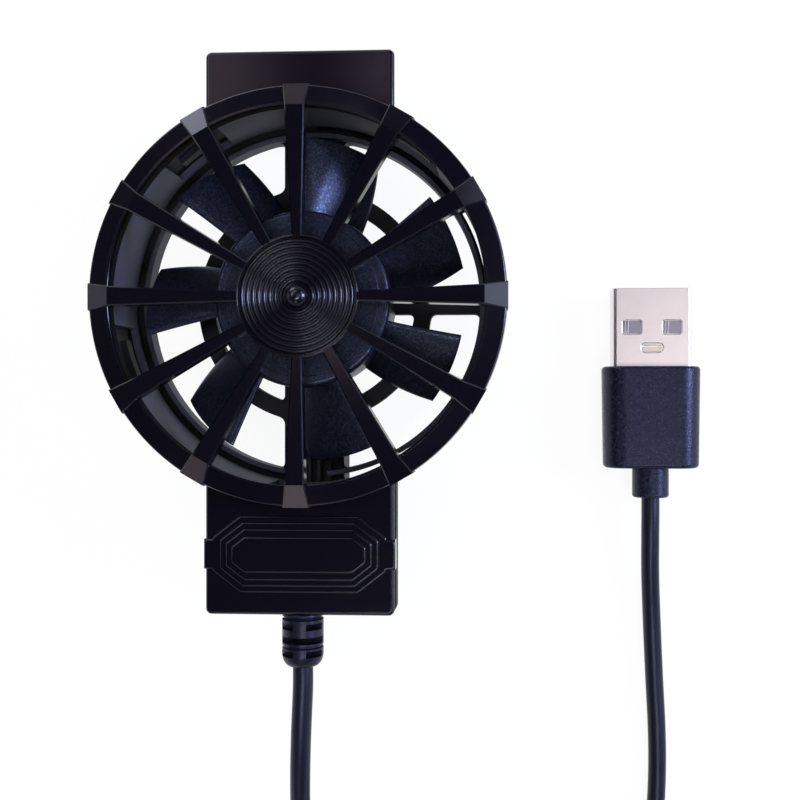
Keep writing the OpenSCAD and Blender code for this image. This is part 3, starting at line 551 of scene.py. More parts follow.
# front guard: rim, skirt with snap windows, spokes and hub ring
guardSize = {
    "rimRadius": 27.75, "lipRadius": 24.85, "lipFlat": 0.35, "ductRadius": 25.3, "skirtRadius": 26.1,
    "grooveRadius": 26.2, "skirtLow": 20.5, "windowLow": 21.9, "windowHigh": 30.5, "rimLow": 30.9,
    "ledgeZ": 32.0, "lipTop": 34.0, "lipThick": 0.8, "shoulderWide": 0.1, "shoulderDrop": 0.8,
    "lipChamfer": 0.05, "lipUndercut": 0.35, "lipRound": 0.05, "shoulderRound": 0.35, "rimRound": 0.2,
    "windowCount": 5, "windowHalf": 10, "windowSteps": 36, "skirtRound": 0.15, "ledgeRound": 0.1,
    "spokeCount": 12, "spokeRoot": 7.95, "rootHalf": 0.65, "tipHalf": 1.3, "endHalf": 1.8,
    "crease": -0.1, "spokeRise": 0.5, "blockFall": 1.3, "blockReach": 0.05, "spokeDeep": 1.5,
    "spokeEdge": 0.16, "spokeFlares": (0.1, 0.12, 0.2),
    "hubRadius": 8.15, "hubLow": 31.0, "hubTop": 32.7, "seatRadius": 7.85, "seatZ": 31.9,
    "hubRounds": (0.25, 0.15, 0.1), "segments": 240,
}


def makeSpoke(size):
    # bar that rises to the lip and ends in a block on the bevel, with its long upper edges broken
    crest = size["lipTop"] + size["spokeRise"]
    places = [
        (size["spokeRoot"], size["rootHalf"], size["hubTop"]),
        (size["lipRadius"] + size["crease"], size["tipHalf"], crest),
        (size["rimRadius"] + size["blockReach"], size["endHalf"], crest - size["blockFall"]),
    ]
    spoke = bmesh.new()
    rows = skin(spoke, [
        [(x, half + flare, top - size["spokeDeep"]), (x, half, top), (x, -half, top),
         (x, -half - flare, top - size["spokeDeep"])]
        for (x, half, top), flare in zip(places, size["spokeFlares"])
    ])
    bmesh.ops.recalc_face_normals(spoke, faces=spoke.faces)
    upper = [spoke.edges.get((near[k], far[k])) for near, far in zip(rows, rows[1:]) for k in (1, 2)]
    bmesh.ops.bevel(spoke, geom=upper, offset=size["spokeEdge"], segments=1, affect="EDGES")
    return spoke


def makeGuard(size):
    rim, lip, groove = size["rimRadius"], size["lipRadius"], size["grooveRadius"]
    top, low, chamfer = size["lipTop"], size["rimLow"], size["lipChamfer"]
    lipLow = top - size["lipThick"]
    bm = bmesh.new()
    lathe(bm, roundCorners([
        (groove, low, 0), (groove, lipLow, 0), (lip + size["lipUndercut"], lipLow, 0),
        (lip, top - chamfer, 0), (lip + chamfer, top, 0), (lip + size["lipFlat"], top, size["lipRound"]),
        (rim - size["shoulderWide"], top - size["shoulderDrop"], size["shoulderRound"]),
        (rim, size["ledgeZ"], 0), (rim, low, size["rimRound"]),
    ], 5), size["segments"])
    hub, hubTop, seat, seatZ = size["hubRadius"], size["hubTop"], size["seatRadius"], size["seatZ"]
    footRound, edgeRound, seatRound = size["hubRounds"]
    lathe(bm, roundCorners([
        (0, size["hubLow"], 0), (hub, size["hubLow"], footRound), (hub, hubTop, edgeRound),
        (seat, hubTop, seatRound), (seat, seatZ, 0), (0, seatZ, 0),
    ]))
    count = size["spokeCount"]
    addCopies(bm, makeSpoke(size), [spin(90 + 360 * k / count) for k in range(count)])
    makePiece("guard", bm, "frame", "gloss_black", ["front_guard"], sharp=28)


def makeSkirt(size):
    # wall of the duct under the rim, in a lighter grey than the guard for a painted sheen, with a snap window
    # in each fifth, and a dark ring above them for painted shade
    inner, outer, edge = size["ductRadius"], size["skirtRadius"], size["skirtRound"]
    foot, low, high, top = size["skirtLow"], size["windowLow"], size["windowHigh"], size["ledgeZ"]
    wall = bmesh.new()
    lathe(wall, roundCorners([(inner, foot, edge), (outer, foot, edge), (outer, low, 0), (inner, low, 0)]),
          size["segments"])
    pitch, half = 360 / size["windowCount"], size["windowHalf"]
    for k in range(size["windowCount"]):
        middle = 270 + pitch * k
        sector(wall, [(inner, low), (outer, low), (outer, high), (inner, high)],
               middle + half, middle + pitch - half, size["windowSteps"])
    ring = bmesh.new()
    lathe(ring, roundCorners([(inner, high, 0), (outer, high, 0), (outer, top, 0),
                              (inner, top, size["ledgeRound"])]), size["segments"])
    makePiece("guardSkirt", wall, "frame", "gloss_black", [], finish="painted_sheen_grey")
    makePiece("skirtShade", ring, "frame", "gloss_black", [], finish="painted_shade_black")


# satin face of the rear grille's outer ring, lighter grey for a painted sheen, open where the leads pass, and
# a dark trim ring beside it
hoopSize = {
    "inner": 23.88, "outer": 24.62, "low": 16.78, "high": 19.83, "edge": 0.12, "openHalf": 4.8, "steps": 220,
    "ledgeInner": 24.5, "ledgeLow": 19.0, "ledgeHigh": 19.6, "ledgeSteps": 40,
    "ledgeParts": [(-30, 31, 24.95), (31, 88, 25.7)],
}


def makeHoop(size):
    hoop = bmesh.new()
    profile = roundedRectangle((size["inner"], size["low"]), (size["outer"], size["high"]), size["edge"])
    sector(hoop, profile, 270 + size["openHalf"], 630 - size["openHalf"], size["steps"])
    ledge = bmesh.new()
    inner, low, high = size["ledgeInner"], size["ledgeLow"], size["ledgeHigh"]
    for start, end, reach in size["ledgeParts"]:
        profile = [(inner, low), (reach, low), (reach, high), (inner, high)]
        sector(ledge, profile, start, end, size["ledgeSteps"])
    makePiece("hoopFace", hoop, "frame", "frame_black", [], finish="painted_sheen_grey")
    makePiece("hoopLedge", ledge, "frame", "frame_black", [], finish="gloss_black")


# ringed cap in the guard's hub
capSize = {"radius": 7.8, "low": 31.9, "face": 32.3, "margin": 0.1, "ridges": 8, "ridgeHigh": 0.3,
           "pointsPerRidge": 10, "nipple": 1.65, "nippleRise": 1.5, "nippleSteps": 10}


def makeCap(size):
    radius, face, margin, nipple = size["radius"], size["face"], size["margin"], size["nipple"]
    pitch = (radius - nipple - 2 * margin) / size["ridges"]
    profile = [(0, size["low"]), (radius, size["low"]), (radius, face)]
    for i in range(size["ridges"] * size["pointsPerRidge"] + 1):
        share = i / size["pointsPerRidge"]
        wave = (1 - math.cos(2 * math.pi * share)) / 2
        profile.append((radius - margin - share * pitch, face + size["ridgeHigh"] * wave))
    for turn in angles(size["nippleSteps"]):
        profile.append((nipple * math.cos(turn), face + size["nippleRise"] * math.sin(turn)))
    bm = bmesh.new()
    lathe(bm, profile)
    makePiece("ringedCap", bm, "frame", "cap_black", ["hub_cap"], sharp=60)


# impeller: stepped hub and swept blades
impellerSize = {
    "hubRadius": 12.0, "hubWall": 1.35, "low": 20.4, "top": 29.0, "roofLow": 27.6, "stepRadius": 10.5,
    "stepHigh": 0.4, "edge": 1.3, "footRounds": (0.1, 0.15), "stepRounds": (0.06, 0.12),
    "blades": 7, "tipRadius": 22.1, "thick": 0.8, "thinnest": 0.02, "camber": 0.7, "bluntness": 14,
    "lead": (88.5, 90), "trail": (53, 64), "high": (28.1, 27.8), "lowEdge": (20.8, 21.3),
    "rootSunk": 0.5, "stations": 12, "chordParts": 14, "tipRound": 0.2, "tipRows": [(0.85, 0.06), (0.5, 0.0)],
}


def bladeLoop(size, share, radius, squeeze):
    # section of a blade, laid round the axis at one radius
    lead, trail, high, low = (mix(*size[key], share) for key in ("lead", "trail", "high", "lowEdge"))
    last = size["chordParts"]
    chord = [(1 - math.cos(turn)) / 2 for turn in angles(last, math.pi)]
    line = [Vector((radius * math.radians(mix(lead, trail, c)),
                    mix(high, low, c) + size["camber"] * math.sin(math.pi * c))) for c in chord]
    front, back = [], []
    for k, (point, c) in enumerate(zip(line, chord)):
        along = (line[min(k + 1, last)] - line[max(k - 1, 0)]).normalized()
        thick = size["thick"] * squeeze * (1 - abs(2 * c - 1) ** size["bluntness"]) ** 0.5
        side = Vector((-along.y, along.x)) * max(thick, size["thinnest"]) / 2
        front.append(point + side)
        back.append(point - side)
    return [polar(radius, p.x / radius, p.y) for p in front + back[::-1]]


def makeImpeller(size):
    hub, step, low, top = size["hubRadius"], size["stepRadius"], size["low"], size["top"]
    inner, roof, shoulder = hub - size["hubWall"], size["roofLow"], top - size["stepHigh"]
    innerFoot, outerFoot = size["footRounds"]
    stepFoot, stepEdge = size["stepRounds"]
    bm = bmesh.new()
    lathe(bm, roundCorners([
        (0, roof, 0), (inner, roof, 0), (inner, low, innerFoot), (hub, low, outerFoot),
        (hub, shoulder, size["edge"]), (step, shoulder, stepFoot), (step, top, stepEdge), (0, top, 0),
    ], 6))
    root, tip, stations = hub - size["rootSunk"], size["tipRadius"], size["stations"]
    loops = []
    for k in range(stations + 1):
        share = k / stations
        loops.append(bladeLoop(size, share, mix(root, tip - size["tipRound"], share), 1))
    for squeeze, back in size["tipRows"]:
        loops.append(bladeLoop(size, 1, tip - back, squeeze))
    blade = bmesh.new()
    skin(blade, loops)
    addCopies(bm, blade, [spin(360 * k / size["blades"]) for k in range(size["blades"])])
    makePiece("bladedImpeller", bm, "rotor", "impeller_black", ["impeller"], sharp=50)


# slabs at both ends of the clamp, measured from the fan axis; ends are (piece, body, solid, reach,
# radius of the arc beside the fan, turn)
slabSize = {
    "halfWidth": 12.7, "corner": 0.8, "low": 27.8, "top": 30.6, "edge": 0.5, "seam": 0.1, "draft": 0.35,
    "arcSteps": 40,
    "ends": [("jawSlab", "jaw", "jaw_cover", 33.0, 27.6, 0),
             ("heelSlab", "frame", "heel_cover", 42.4, 27.3, 180)],
}


def endOutline(size, reach, arc):
    half, corner, steps = size["halfWidth"], size["corner"], size["arcSteps"]
    start = math.sqrt(arc ** 2 - half ** 2)
    outline = roundCorners([(half, start, 0), (half, reach, corner), (-half, reach, corner),
                            (-half, start, 0)], 6)
    limit = math.asin(half / arc)
    for k in range(1, steps):
        angle = mix(-limit, limit, k / steps)
        outline.append(Vector((arc * math.sin(angle), arc * math.cos(angle))))
    return outline


def makeSlabs(size):
    for name, body, node, reach, arc, turn in size["ends"]:
        bm = bmesh.new()
        prism(bm, endOutline(size, reach, arc), size["low"], size["top"], size["seam"], size["edge"],
              draft=size["draft"])
        makePiece(name, bm, body, "gloss_black", [node], turn=spin(turn))


# stepped grip on the heel; the terrace is (share of the slope, share of the step) up its edge
gripSize = {
    "y": -34.25, "base": 30.6, "step": 0.22, "slope": 0.28, "corner": 0.5,
    "halfWidth": [11.65, 10.65, 9.8, 9.0], "halfHigh": [5.15, 4.3, 3.45, 2.4], "chamfer": (3.7, 2.85),
    "terrace": [(0, -0.1), (0, 0.1), (0.2, 0.5), (0.55, 0.85), (1, 1)],
    "tabHalf": 2.0, "tabReach": 12.85, "tabThick": 0.42, "tabDrop": 1.97, "tabLap": 0.1, "tabEdge": 0.07,
}


def gripOutline(size, level):
    # half of the terrace's corners, then the same corners turned half round
    w, h = size["halfWidth"][level], size["halfHigh"][level]
    share = h / size["halfHigh"][0]
    dx, dy = size["chamfer"][0] * share, size["chamfer"][1] * share
    half = [(w, h - dy), (w - dx, h), (dx - w, h), (-w, h - dy)]
    if level == 0:
        tab, reach = size["tabHalf"], size["tabReach"]
        half = [(w, -tab), (reach, -tab), (reach, tab), (w, tab)] + half
    corners = half + [(-x, -y) for x, y in half]
    return roundCorners([(x, y + size["y"], size["corner"]) for x, y in corners], 3)


def makeGrip(size):
    bm = bmesh.new()
    for level in range(len(size["halfWidth"])):
        outline = gripOutline(size, level)
        low = size["base"] + level * size["step"]
        skin(bm, [[(p.x, p.y, low + rise * size["step"]) for p in inset(outline, share * size["slope"])]
                  for share, rise in size["terrace"]])
    reach, half = size["tabReach"], size["tabHalf"]
    low, high = size["base"] - size["tabDrop"], size["base"] + size["tabLap"]
    for side in (-1, 1):
        left, right = sorted([side * reach, side * (reach - size["tabThick"])])
        roundedBox(bm, (left, size["y"] - half, low), (right, size["y"] + half, high), size["tabEdge"])
    makePiece("steppedGrip", bm, "frame", "gloss_black", ["grip_plate"], sharp=45)


# rounded inner corners where the rear grille's bars meet its rings; bars are (half width, turns),
# rings are (radius, way along the bar to the free space)
filletSize = {"bars": [(1.4, (0, 180)), (4.3, (90, 270))], "low": 16.8, "high": 18.6, "radius": 0.8,
              "sunk": 0.15, "rings": [(11.0, 1), (14.5, -1), (16.9, 1), (23.9, -1)], "steps": 6}


def filletOutline(size, half, ring, free, side):
    corner = Vector((math.sqrt(ring ** 2 - half ** 2), side * half))
    along = Vector((free, 0))
    around = Vector((-corner.y, corner.x)).normalized() * side
    r, sunk = size["radius"], size["sunk"]
    middle = corner + (along + around) * r
    outline = [corner - (along + around) * sunk, corner + along * r - around * sunk]
    for turn in angles(size["steps"]):
        outline.append(middle - around * r * math.cos(turn) - along * r * math.sin(turn))
    outline.append(corner + around * r - along * sunk)
    return outline


def makeFillets(size):
    bm = bmesh.new()
    for half, turns in size["bars"]:
        for ring, free in size["rings"]:
            for side in (-1, 1):
                part = bmesh.new()
                outline = filletOutline(size, half, ring, free, side)
                skin(part, [[(p.x, p.y, z) for p in outline] for z in (size["low"], size["high"])])
                addCopies(bm, part, [spin(turn) for turn in turns])
    makePiece("grilleFillets", bm, "frame", "frame_black", [], sharp=30)


makeGuard(guardSize)
makeSkirt(guardSize)
makeHoop(hoopSize)
makeCap(capSize)
makeImpeller(impellerSize)
makeSlabs(slabSize)
makeGrip(gripSize)
makeFillets(filletSize)
print("fan and clamp pieces made")

# strain relief: turned sleeve with blind pockets at its sides and a wide slot between them, front and
# back; cuts are (from, to) along the sleeve and (from, to) in degrees away from its front or back
reliefSize = {
    "length": 7.3, "radius": 2.8, "waist": 2.45, "core": 1.46, "tail": 1.55, "cone": 5.5, "mouth": 0.25,
    "cuts": [(1.3, 2.15, 20, 74), (3.1, 4.0, 0, 80), (4.95, 5.8, 20, 74)], "cutSteps": (0.05, 0.004),
    "grooves": [(0.65, 0.22), (4.5, 0.2)], "neck": 1.7, "neckDeep": 1.2, "neckLap": 0.02,
    "rings": 90, "sides": 96,
}


def onCordAxis(node, long):
    # where a piece along the cord starts, in metres: so far above the lower end of its solid
    low, high = boxOf(node)
    return Vector(((low.x + high.x) / 2, low.y + long, (low.z + high.z) / 2)) * mm


def reliefRadius(size, at, angle):
    full, mouth, cone = size["radius"], size["mouth"], size["cone"]
    radius = full
    for middle, half in size["grooves"]:
        if abs(at - middle) < half:
            radius = mix(size["waist"], full, (abs(at - middle) / half) ** 2)
    if at > cone:
        share = (at - cone) / (size["length"] - cone)
        radius = mix(full, size["tail"], 1 - math.sqrt(max(1 - share ** 2, 0)))
    if at < mouth:
        radius -= mouth - math.sqrt(max(mouth ** 2 - (mouth - at) ** 2, 0))
    aside = math.degrees(math.atan2(abs(math.cos(angle)), abs(math.sin(angle))))
    for low, high, start, end in size["cuts"]:
        if low < at < high and start <= aside <= end:
            radius = size["core"]
    return radius


def makeRelief(size):
    marks = angles(size["rings"], size["length"])
    far, near = size["cutSteps"]
    for low, high, start, end in size["cuts"]:
        for edge in (low, high):
            marks += [edge - far, edge - near, edge + near, edge + far]
    circle = angles(size["sides"], 2 * math.pi)[:-1]
    loops = []
    for z in (-size["neckDeep"], size["neckLap"]):
        loops.append([polar(size["neck"], angle, z) for angle in circle])
    for at in sorted(set(marks)):
        loops.append([polar(reliefRadius(size, at, angle), angle, at) for angle in circle])
    bm = bmesh.new()
    skin(bm, loops)
    place = onCordAxis("strain_relief", size["length"])
    piece = makePiece("ribbedRelief", bm, "frame", "cord_black", ["strain_relief"], place,
                      Matrix.Rotation(math.radians(90), 4, "X"), 32)
    # faces near the axis, the floors of the pockets and the slot, get the near-black finish as painted shade
    piece.data.materials.append(materials["painted_shade_black"])
    for face in piece.data.polygons:
        aside = Vector((face.center.x - place.x, face.center.z - place.z)).length / mm
        face.material_index = int(aside < (size["core"] + size["waist"]) / 2)
    return piece


# plug: moulded boot, then the folded metal shell
bootSize = {"halfWidth": 7.5, "halfHigh": 4.0, "corner": 3.4, "frontEdge": 0.5, "backEdge": 0.6, "long": 15.6,
            "taper": 0.03, "neckRadius": 2.8, "neckLong": 4.6, "neckRound": 0.4, "neckLap": 0.6}


def makeBoot(size):
    half = Vector((size["halfWidth"], size["halfHigh"]))
    bm = bmesh.new()
    prism(bm, roundedRectangle(-half, half, size["corner"], 10), 0, size["long"], size["backEdge"],
          size["frontEdge"], 5)
    for vert in bm.verts:
        vert.co.x *= 1 - size["taper"] * (1 - vert.co.z / size["long"])
    radius, long, lap = size["neckRadius"], size["neckLong"], size["neckLap"]
    lathe(bm, roundCorners([(0, -long, 0), (radius, -long, size["neckRound"]), (radius, lap, 0),
                            (0, lap, 0)]), 64)
    return makePiece("plugBoot", bm, "frame", "boot_black", ["plug_boot"], onCordAxis("plug_boot", long),
                     Matrix.Rotation(math.radians(-90), 4, "X"))


shellSize = {"corner": 0.6, "wall": 0.3, "edge": 0.1, "window": (2.9, 2.2), "windowX": 3.05,
             "windowBack": 4.9, "windowCorner": 0.4, "slot": (3.4, 1.5), "slotBack": 8.4, "slotCorner": 0.72,
             "flatArea": 20}


def shellHole(bm, size, middle, wide, long, corner, side, top):
    # rounded hole through one wall; gives its edge loops on the outer and on the inner face
    half = Vector((wide / 2, long / 2))
    outline = roundedRectangle(-half, half, corner, 5)
    edge = size["edge"]
    rows = [(edge * (1 - math.sin(turn)), edge * (1 - math.cos(turn))) for turn in angles(3)]
    rows.append((0, size["wall"]))
    rings = skin(bm, [[(middle[0] + p.x, middle[1] + p.y, side * (top - drop)) for p in inset(outline, -out)]
                      for out, drop in rows], capped=False)
    return [[bm.edges.get(ends) for ends in zip(ring, ring[1:] + ring[:1])] for ring in (rings[0], rings[-1])]


def makeShell(size):
    low, high = boxOf("plug_shell")
    half = Vector(((high.x - low.x) / 2, (high.z - low.z) / 2))
    wall, edge, top = size["wall"], size["edge"], half.y
    outer = roundedRectangle(-half, half, size["corner"], 8)
    rows = [(0, low.y)]
    for turn in angles(6, math.pi):
        rows.append((wall / 2 * (1 - math.cos(turn)), high.y - edge * (1 - math.sin(turn))))
    rows.append((wall, low.y))
    loops = [[(p.x, y, p.y) for p in inset(outer, deep)] for deep, y in rows]
    bm = bmesh.new()
    skin(bm, loops + loops[:1], capped=False)
    bmesh.ops.remove_doubles(bm, verts=bm.verts, dist=1e-5)
    # the large flat faces, outside and inside, are filled again round the holes
    flats = [f for f in bm.faces if abs(f.normal.z) > 0.99 and f.calc_area() > size["flatArea"]]
    frames = [(list(f.edges), f.calc_center_median().z) for f in flats]
    bmesh.ops.delete(bm, geom=flats, context="FACES_ONLY")
    for side in (1, -1):
        y = high.y - size["windowBack"] - size["window"][1] / 2
        holes = [shellHole(bm, size, (x, y), *size["window"], size["windowCorner"], side, top)
                 for x in (-size["windowX"], size["windowX"])]
        if side == 1:
            y = high.y - size["slotBack"] - size["slot"][1] / 2
            holes.append(shellHole(bm, size, (0, y), *size["slot"], size["slotCorner"], side, top))
        for edges, level in frames:
            if level * side > 0:
                ring = 0 if abs(level) > top - wall / 2 else 1
                around = edges + [e for hole in holes for e in hole[ring]]
                bmesh.ops.triangle_fill(bm, edges=around, use_beauty=True, normal=(0, 0, side))
    place = Vector(((low.x + high.x) / 2, 0, (low.z + high.z) / 2)) * mm
    piece = makePiece("plugShell", bm, "frame", "plug_metal", ["plug_shell"], place, sharp=40)
    for face in piece.data.polygons:
        face.use_smooth = abs(face.normal.z) < 0.999
    return piece


# what shows in the shell's openings: spring leaves in the windows, as (from, to, rise), greyer than the shell
# for painted shade, and the ribs of the tongue in the slot, tan for the white plastic's painted shade
insertSize = {"leaves": [(-1.36, -1.0, 0.1), (-0.9, -0.55, 0.2), (-0.45, 1.36, 0.12)], "leafHalf": 1.0,
              "leafEdge": 0.04, "ribs": [(-0.62, 0.1), (0.3, 0.62)], "ribHalf": 1.45, "ribRise": 0.3,
              "ribEdge": 0.08, "sunk": 0.05}


def makeInserts(size, shell):
    low, high = boxOf("plug_shell")
    top = boxOf("plug_tongue")[1].z
    middle, foot = (low.x + high.x) / 2, top - size["sunk"]
    leaves = bmesh.new()
    y, half = high.y - shell["windowBack"] - shell["window"][1] / 2, size["leafHalf"]
    for x in (middle - shell["windowX"], middle + shell["windowX"]):
        for start, end, rise in size["leaves"]:
            roundedBox(leaves, (x + start, y - half, foot), (x + end, y + half, top + rise), size["leafEdge"])
    rib = bmesh.new()
    y, half = high.y - shell["slotBack"] - shell["slot"][1] / 2, size["ribHalf"]
    for start, end in size["ribs"]:
        roundedBox(rib, (middle - half, y + start, foot), (middle + half, y + end, top + size["ribRise"]),
                   size["ribEdge"])
    return [makePiece("windowLeaves", leaves, "frame", "plug_metal", [], Vector(), finish="spring_metal_painted_shade"),
            makePiece("slotRib", rib, "frame", "white_plastic", [], Vector(), finish="tan_painted_shade")]


# strap round the coil
strapSize = {"thick": 0.5, "corner": 1.0, "edge": 0.1}


def makeStrap(size):
    low, high = boxOf("coil_tie")
    thick, edge = size["thick"], size["edge"]
    outer = roundedRectangle(low.yz, high.yz, size["corner"], 6)
    rows = [(0, low.x + edge), (0, high.x - edge), (edge, high.x), (thick - edge, high.x),
            (thick, high.x - edge), (thick, low.x + edge), (thick - edge, low.x), (edge, low.x)]
    loops = [[(x, p.x, p.y) for p in inset(outer, deep)] for deep, x in rows]
    bm = bmesh.new()
    skin(bm, loops + loops[:1], capped=False)
    bmesh.ops.remove_doubles(bm, verts=bm.verts, dist=1e-5)
    return makePiece("coilStrap", bm, "frame", "tie_black", ["coil_tie"], Vector())


# soft pads on the hooks and on the back
padSize = {"corner": 1.0, "edge": 0.3, "restLong": 9.0, "restEdge": 0.2}


def padBar(bm, low, high, axis, corner, edge):
    # bar with rounded corners whose thin side lies along axis 1 (Y) or 2 (Z)
    flat = 3 - axis
    bar = bmesh.new()
    prism(bar, roundedRectangle((low.x, low[flat]), (high.x, high[flat]), corner, 5), low[axis], high[axis],
          edge, edge)
    swap = Matrix() if axis == 2 else Matrix(((1, 0, 0, 0), (0, 0, 1, 0), (0, 1, 0, 0), (0, 0, 0, 1)))
    addCopies(bm, bar, [swap])


def makePads(size):
    for node, body in (("heel_pad", "frame"), ("jaw_pad", "jaw")):
        bm = bmesh.new()
        padBar(bm, *boxOf(node), 1, size["corner"], size["edge"])
        makePiece(node + "Soft", bm, body, "soft_pad", [node], Vector())
    low, high = boxOf("rest_pads")
    bm = bmesh.new()
    for start in (low.y, high.y - size["restLong"]):
        padBar(bm, Vector((low.x, start, low.z)), Vector((high.x, start + size["restLong"], high.z)), 2,
               size["corner"], size["restEdge"])
    makePiece("restPadsSoft", bm, "frame", "soft_pad", ["rest_pads"], Vector())


# return spring, stretched between the frame's post and the jaw's pin
springSize = {"coilRadius": 1.0, "wireRadius": 0.2, "turns": 14, "ringsPerTurn": 20, "sides": 10}


def makeSpring(size):
    low, high = boxOf("return_spring")
    middle = (low + high) / 2
    wire, count = size["wireRadius"], size["turns"] * size["ringsPerTurn"]
    start, end = low.y + wire, high.y - wire
    path = []
    for i in range(count + 1):
        turn = 2 * math.pi * i / size["ringsPerTurn"]
        x, z, y = polar(size["coilRadius"], turn, mix(start, end, i / count))
        path.append(Vector((middle.x + x, y, middle.z + z)))
    circle = angles(size["sides"], 2 * math.pi)[:-1]
    loops = []
    for i, point in enumerate(path):
        along = (path[min(i + 1, count)] - path[max(i - 1, 0)]).normalized()
        across = Vector((0, 1, 0)).cross(along).normalized()
        up = along.cross(across)
        loops.append([point + wire * (across * math.cos(angle) + up * math.sin(angle)) for angle in circle])
    bm = bmesh.new()
    skin(bm, loops)
    piece = makePiece("jawSpring", bm, None, "steel", ["return_spring"], Vector(), sharp=60)
    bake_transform(piece)


ribbedRelief = makeRelief(reliefSize)
plugBoot = makeBoot(bootSize)
plugShell = makeShell(shellSize)
plugInserts = makeInserts(insertSize, shellSize)
coilStrap = makeStrap(strapSize)
makePads(padSize)
makeSpring(springSize)
print("cord pieces, pads and spring made")

# solids that stay as they are: softened edges and their own finish
edgeWidth = {"fan_frame": 0.12, "sliding_jaw": 0.25, "spine_cover": 0.15, "cover_screws": 0.05,
             "plug_tongue": 0.06, "power_board": 0.05}
for node, piece in cadNodes.items():
    piece.data.materials.clear()
    piece.data.materials.append(materials[slotOf[node]])
    if node in edgeWidth:
        weld = piece.modifiers.new("weld", "WELD")
        weld.merge_threshold = 1e-6
        bevel = piece.modifiers.new("edges", "BEVEL")
        bevel.width = edgeWidth[node] * mm
        bevel.segments = 2
        bevel.limit_method = "ANGLE"
        bevel.angle_limit = math.radians(50)
        bevel.harden_normals = True
print("solids finished")

# stage: white floor, bright low surround, dark overhead with soft patches, and soft lamps; lamps are
# (azimuth, elevation, half width and half height in degrees, glow, colour, shown in gloss)
stage = {
    "floorHalf": 2.0, "floorDrop": 0.00005, "floorColour": (0.9, 0.9, 0.9), "floorShare": 0.9,
    "skyRises": [(0.0, 1.0), (0.08, 0.9), (0.16, 0.5), (0.26, 0.14), (0.45, 0.04), (0.7, 0.012)],
    "skyTint": (0.98, 0.97, 1.06),
    "patches": [
        {"towards": (-0.28, 0.28, 0.92), "reach": 5.5, "core": 3.4, "colour": (1.05, 0.8, 0.88)},
        {"towards": (-0.09, 0.29, 0.95), "reach": 2.8, "core": 1.2, "colour": (1.1, 0.86, 1.0)},
    ],
    "lampDistance": 0.8, "lampAim": (0.01, 0, 0.02),
    "lamps": {
        "rightLamp": (10, 37, 30, 10, 3.0, (0.78, 0.84, 1.0), True),
        "sideStrip": (8, 28, 10, 9.5, 31.0, (0.5, 0.6, 1.0), True),
        "topLamp": (122, 19, 17, 8, 5.0, (0.84, 0.89, 1.0), True),
        "crownLamp": (88, 27, 20, 5, 0.75, (1.0, 0.9, 0.9), True),
        "backGlow": (118, 49, 24, 6, 2.4, (0.85, 0.88, 1.0), True),
        "bottomLamp": (261, 36, 10, 7, 1.9, (1.0, 0.9, 0.86), True),
        "cornerLamp": (223, 31, 7, 5, 1.1, (1.0, 0.86, 0.82), True),
        "leftLamp": (178, 21, 14, 7, 0.9, (0.9, 0.86, 1.0), True),
        "leftStrip": (160, 52, 14, 5, 5.0, (0.84, 0.83, 1.0), True),
        "keyLamp": (-72, 68, 15, 3.5, 16.0, (0.97, 0.98, 1.0), True),
        "softBox": (9, 72, 14, 14, 1.2, (1.0, 0.95, 0.95), True),
        "fillLamp": (0, 90, 30, 30, 2.0, (1.0, 1.0, 1.0), False),
    },
}


def makeFloor(setup):
    half = setup["floorHalf"]
    corners = [(-half, -half, 0), (half, -half, 0), (half, half, 0), (-half, half, 0)]
    mesh = bpy.data.meshes.new("floor")
    mesh.from_pydata(corners, [], [(0, 1, 2, 3)])
    floor = bpy.data.objects.new("floor", mesh)
    floor.location.z = -setup["floorDrop"]
    scene.collection.objects.link(floor)
    material = bpy.data.materials.new("paleFloor")
    material.use_nodes = True
    tree = material.node_tree
    shader = tree.nodes["Principled BSDF"]
    shader.inputs["Base Color"].default_value = (*setup["floorColour"], 1)
    shader.inputs["Roughness"].default_value = 0.9
    shader.inputs["Specular IOR Level"].default_value = 0.1
    path = addNode(tree, "ShaderNodeLightPath")
    seen = mathNode(tree, "MAXIMUM", path.outputs["Is Camera Ray"], path.outputs["Is Glossy Ray"])
    seen = mathNode(tree, "MAXIMUM", seen, path.outputs["Is Transmission Ray"])
    share = mathNode(tree, "MULTIPLY", seen, setup["floorShare"])
    glow = addNode(tree, "ShaderNodeEmission", {"Color": (1, 1, 1, 1), "Strength": 1.0})
    mixed = addNode(tree, "ShaderNodeMixShader", {0: share})
    tree.links.new(shader.outputs[0], mixed.inputs[1])
    tree.links.new(glow.outputs[0], mixed.inputs[2])
    tree.links.new(mixed.outputs[0], tree.nodes["Material Output"].inputs["Surface"])
    mesh.materials.append(material)


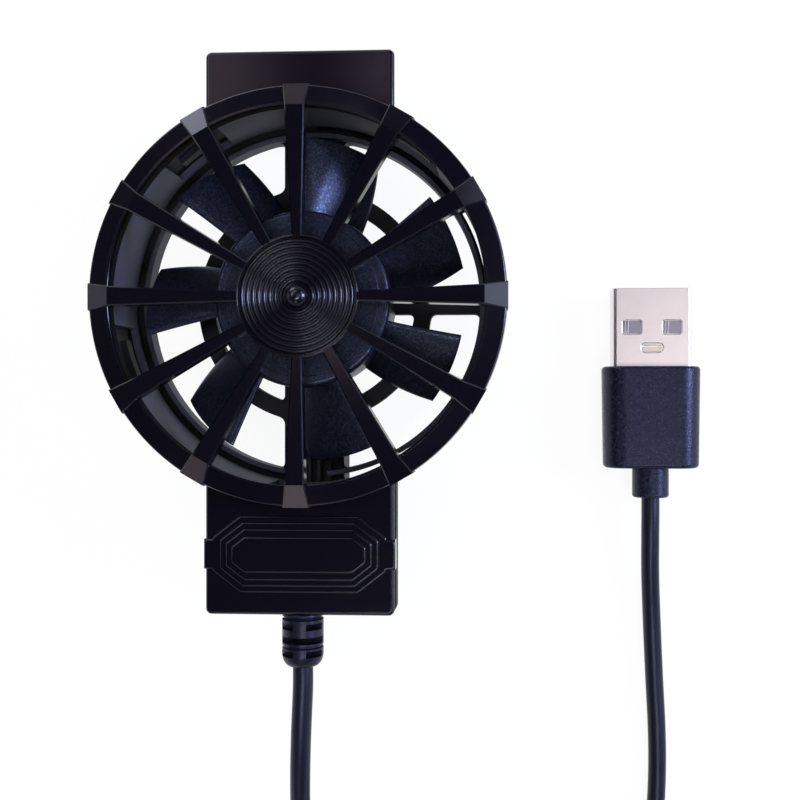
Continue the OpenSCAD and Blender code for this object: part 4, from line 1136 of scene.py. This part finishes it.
def makeSky(setup):
    world = bpy.data.worlds.new("studio")
    scene.world = world
    world.use_nodes = True
    tree = world.node_tree
    place = addNode(tree, "ShaderNodeTexCoord").outputs["Generated"]
    rise = addNode(tree, "ShaderNodeSeparateXYZ", {0: place}).outputs["Z"]
    ramp = addNode(tree, "ShaderNodeValToRGB", {"Fac": rise})
    stops = ramp.color_ramp.elements
    for k, (at, level) in enumerate(setup["skyRises"]):
        stop = stops[k] if k < len(stops) else stops.new(at)
        stop.position = at
        stop.color = (*(level * tint for tint in setup["skyTint"]), 1)
    colour = ramp.outputs[0]
    for row in setup["patches"]:
        towards = Vector(row["towards"]).normalized()
        near = addNode(tree, "ShaderNodeVectorMath", {0: place, 1: towards}, operation="DOT_PRODUCT")
        edge, core = (math.cos(math.radians(row[key])) for key in ("reach", "core"))
        share = addNode(tree, "ShaderNodeMapRange",
                        {"Value": near.outputs["Value"], "From Min": edge, "From Max": core},
                        interpolation_type="SMOOTHSTEP").outputs[0]
        patch = addNode(tree, "ShaderNodeMix", {"Factor": share, 6: colour, 7: (*row["colour"], 1)},
                        data_type="RGBA")
        colour = patch.outputs[2]
    tree.links.new(colour, tree.nodes["Background"].inputs["Color"])
    tree.nodes["Background"].inputs["Strength"].default_value = 1.0


def makeLamps(setup):
    distance = setup["lampDistance"]
    for name, (azimuth, elevation, wide, high, glow, colour, inGloss) in setup["lamps"].items():
        data = bpy.data.lights.new(name, "AREA")
        data.shape = "ELLIPSE"
        data.size = 2 * distance * math.tan(math.radians(wide))
        data.size_y = 2 * distance * math.tan(math.radians(high))
        area = math.pi / 4 * data.size * data.size_y
        data.energy = math.pi * area * glow
        data.color = colour
        lamp = bpy.data.objects.new(name, data)
        lift = math.radians(elevation)
        towards = Vector(polar(math.cos(lift), math.radians(azimuth), math.sin(lift)))
        lamp.location = Vector(setup["lampAim"]) + towards * distance
        lamp.rotation_euler = towards.to_track_quat("Z", "Y").to_euler()
        lamp.visible_camera = False
        lamp.visible_glossy = inGloss
        scene.collection.objects.link(lamp)


makeFloor(stage)
makeSky(stage)
makeLamps(stage)
scene.view_settings.view_transform = "Standard"
print("stage made")
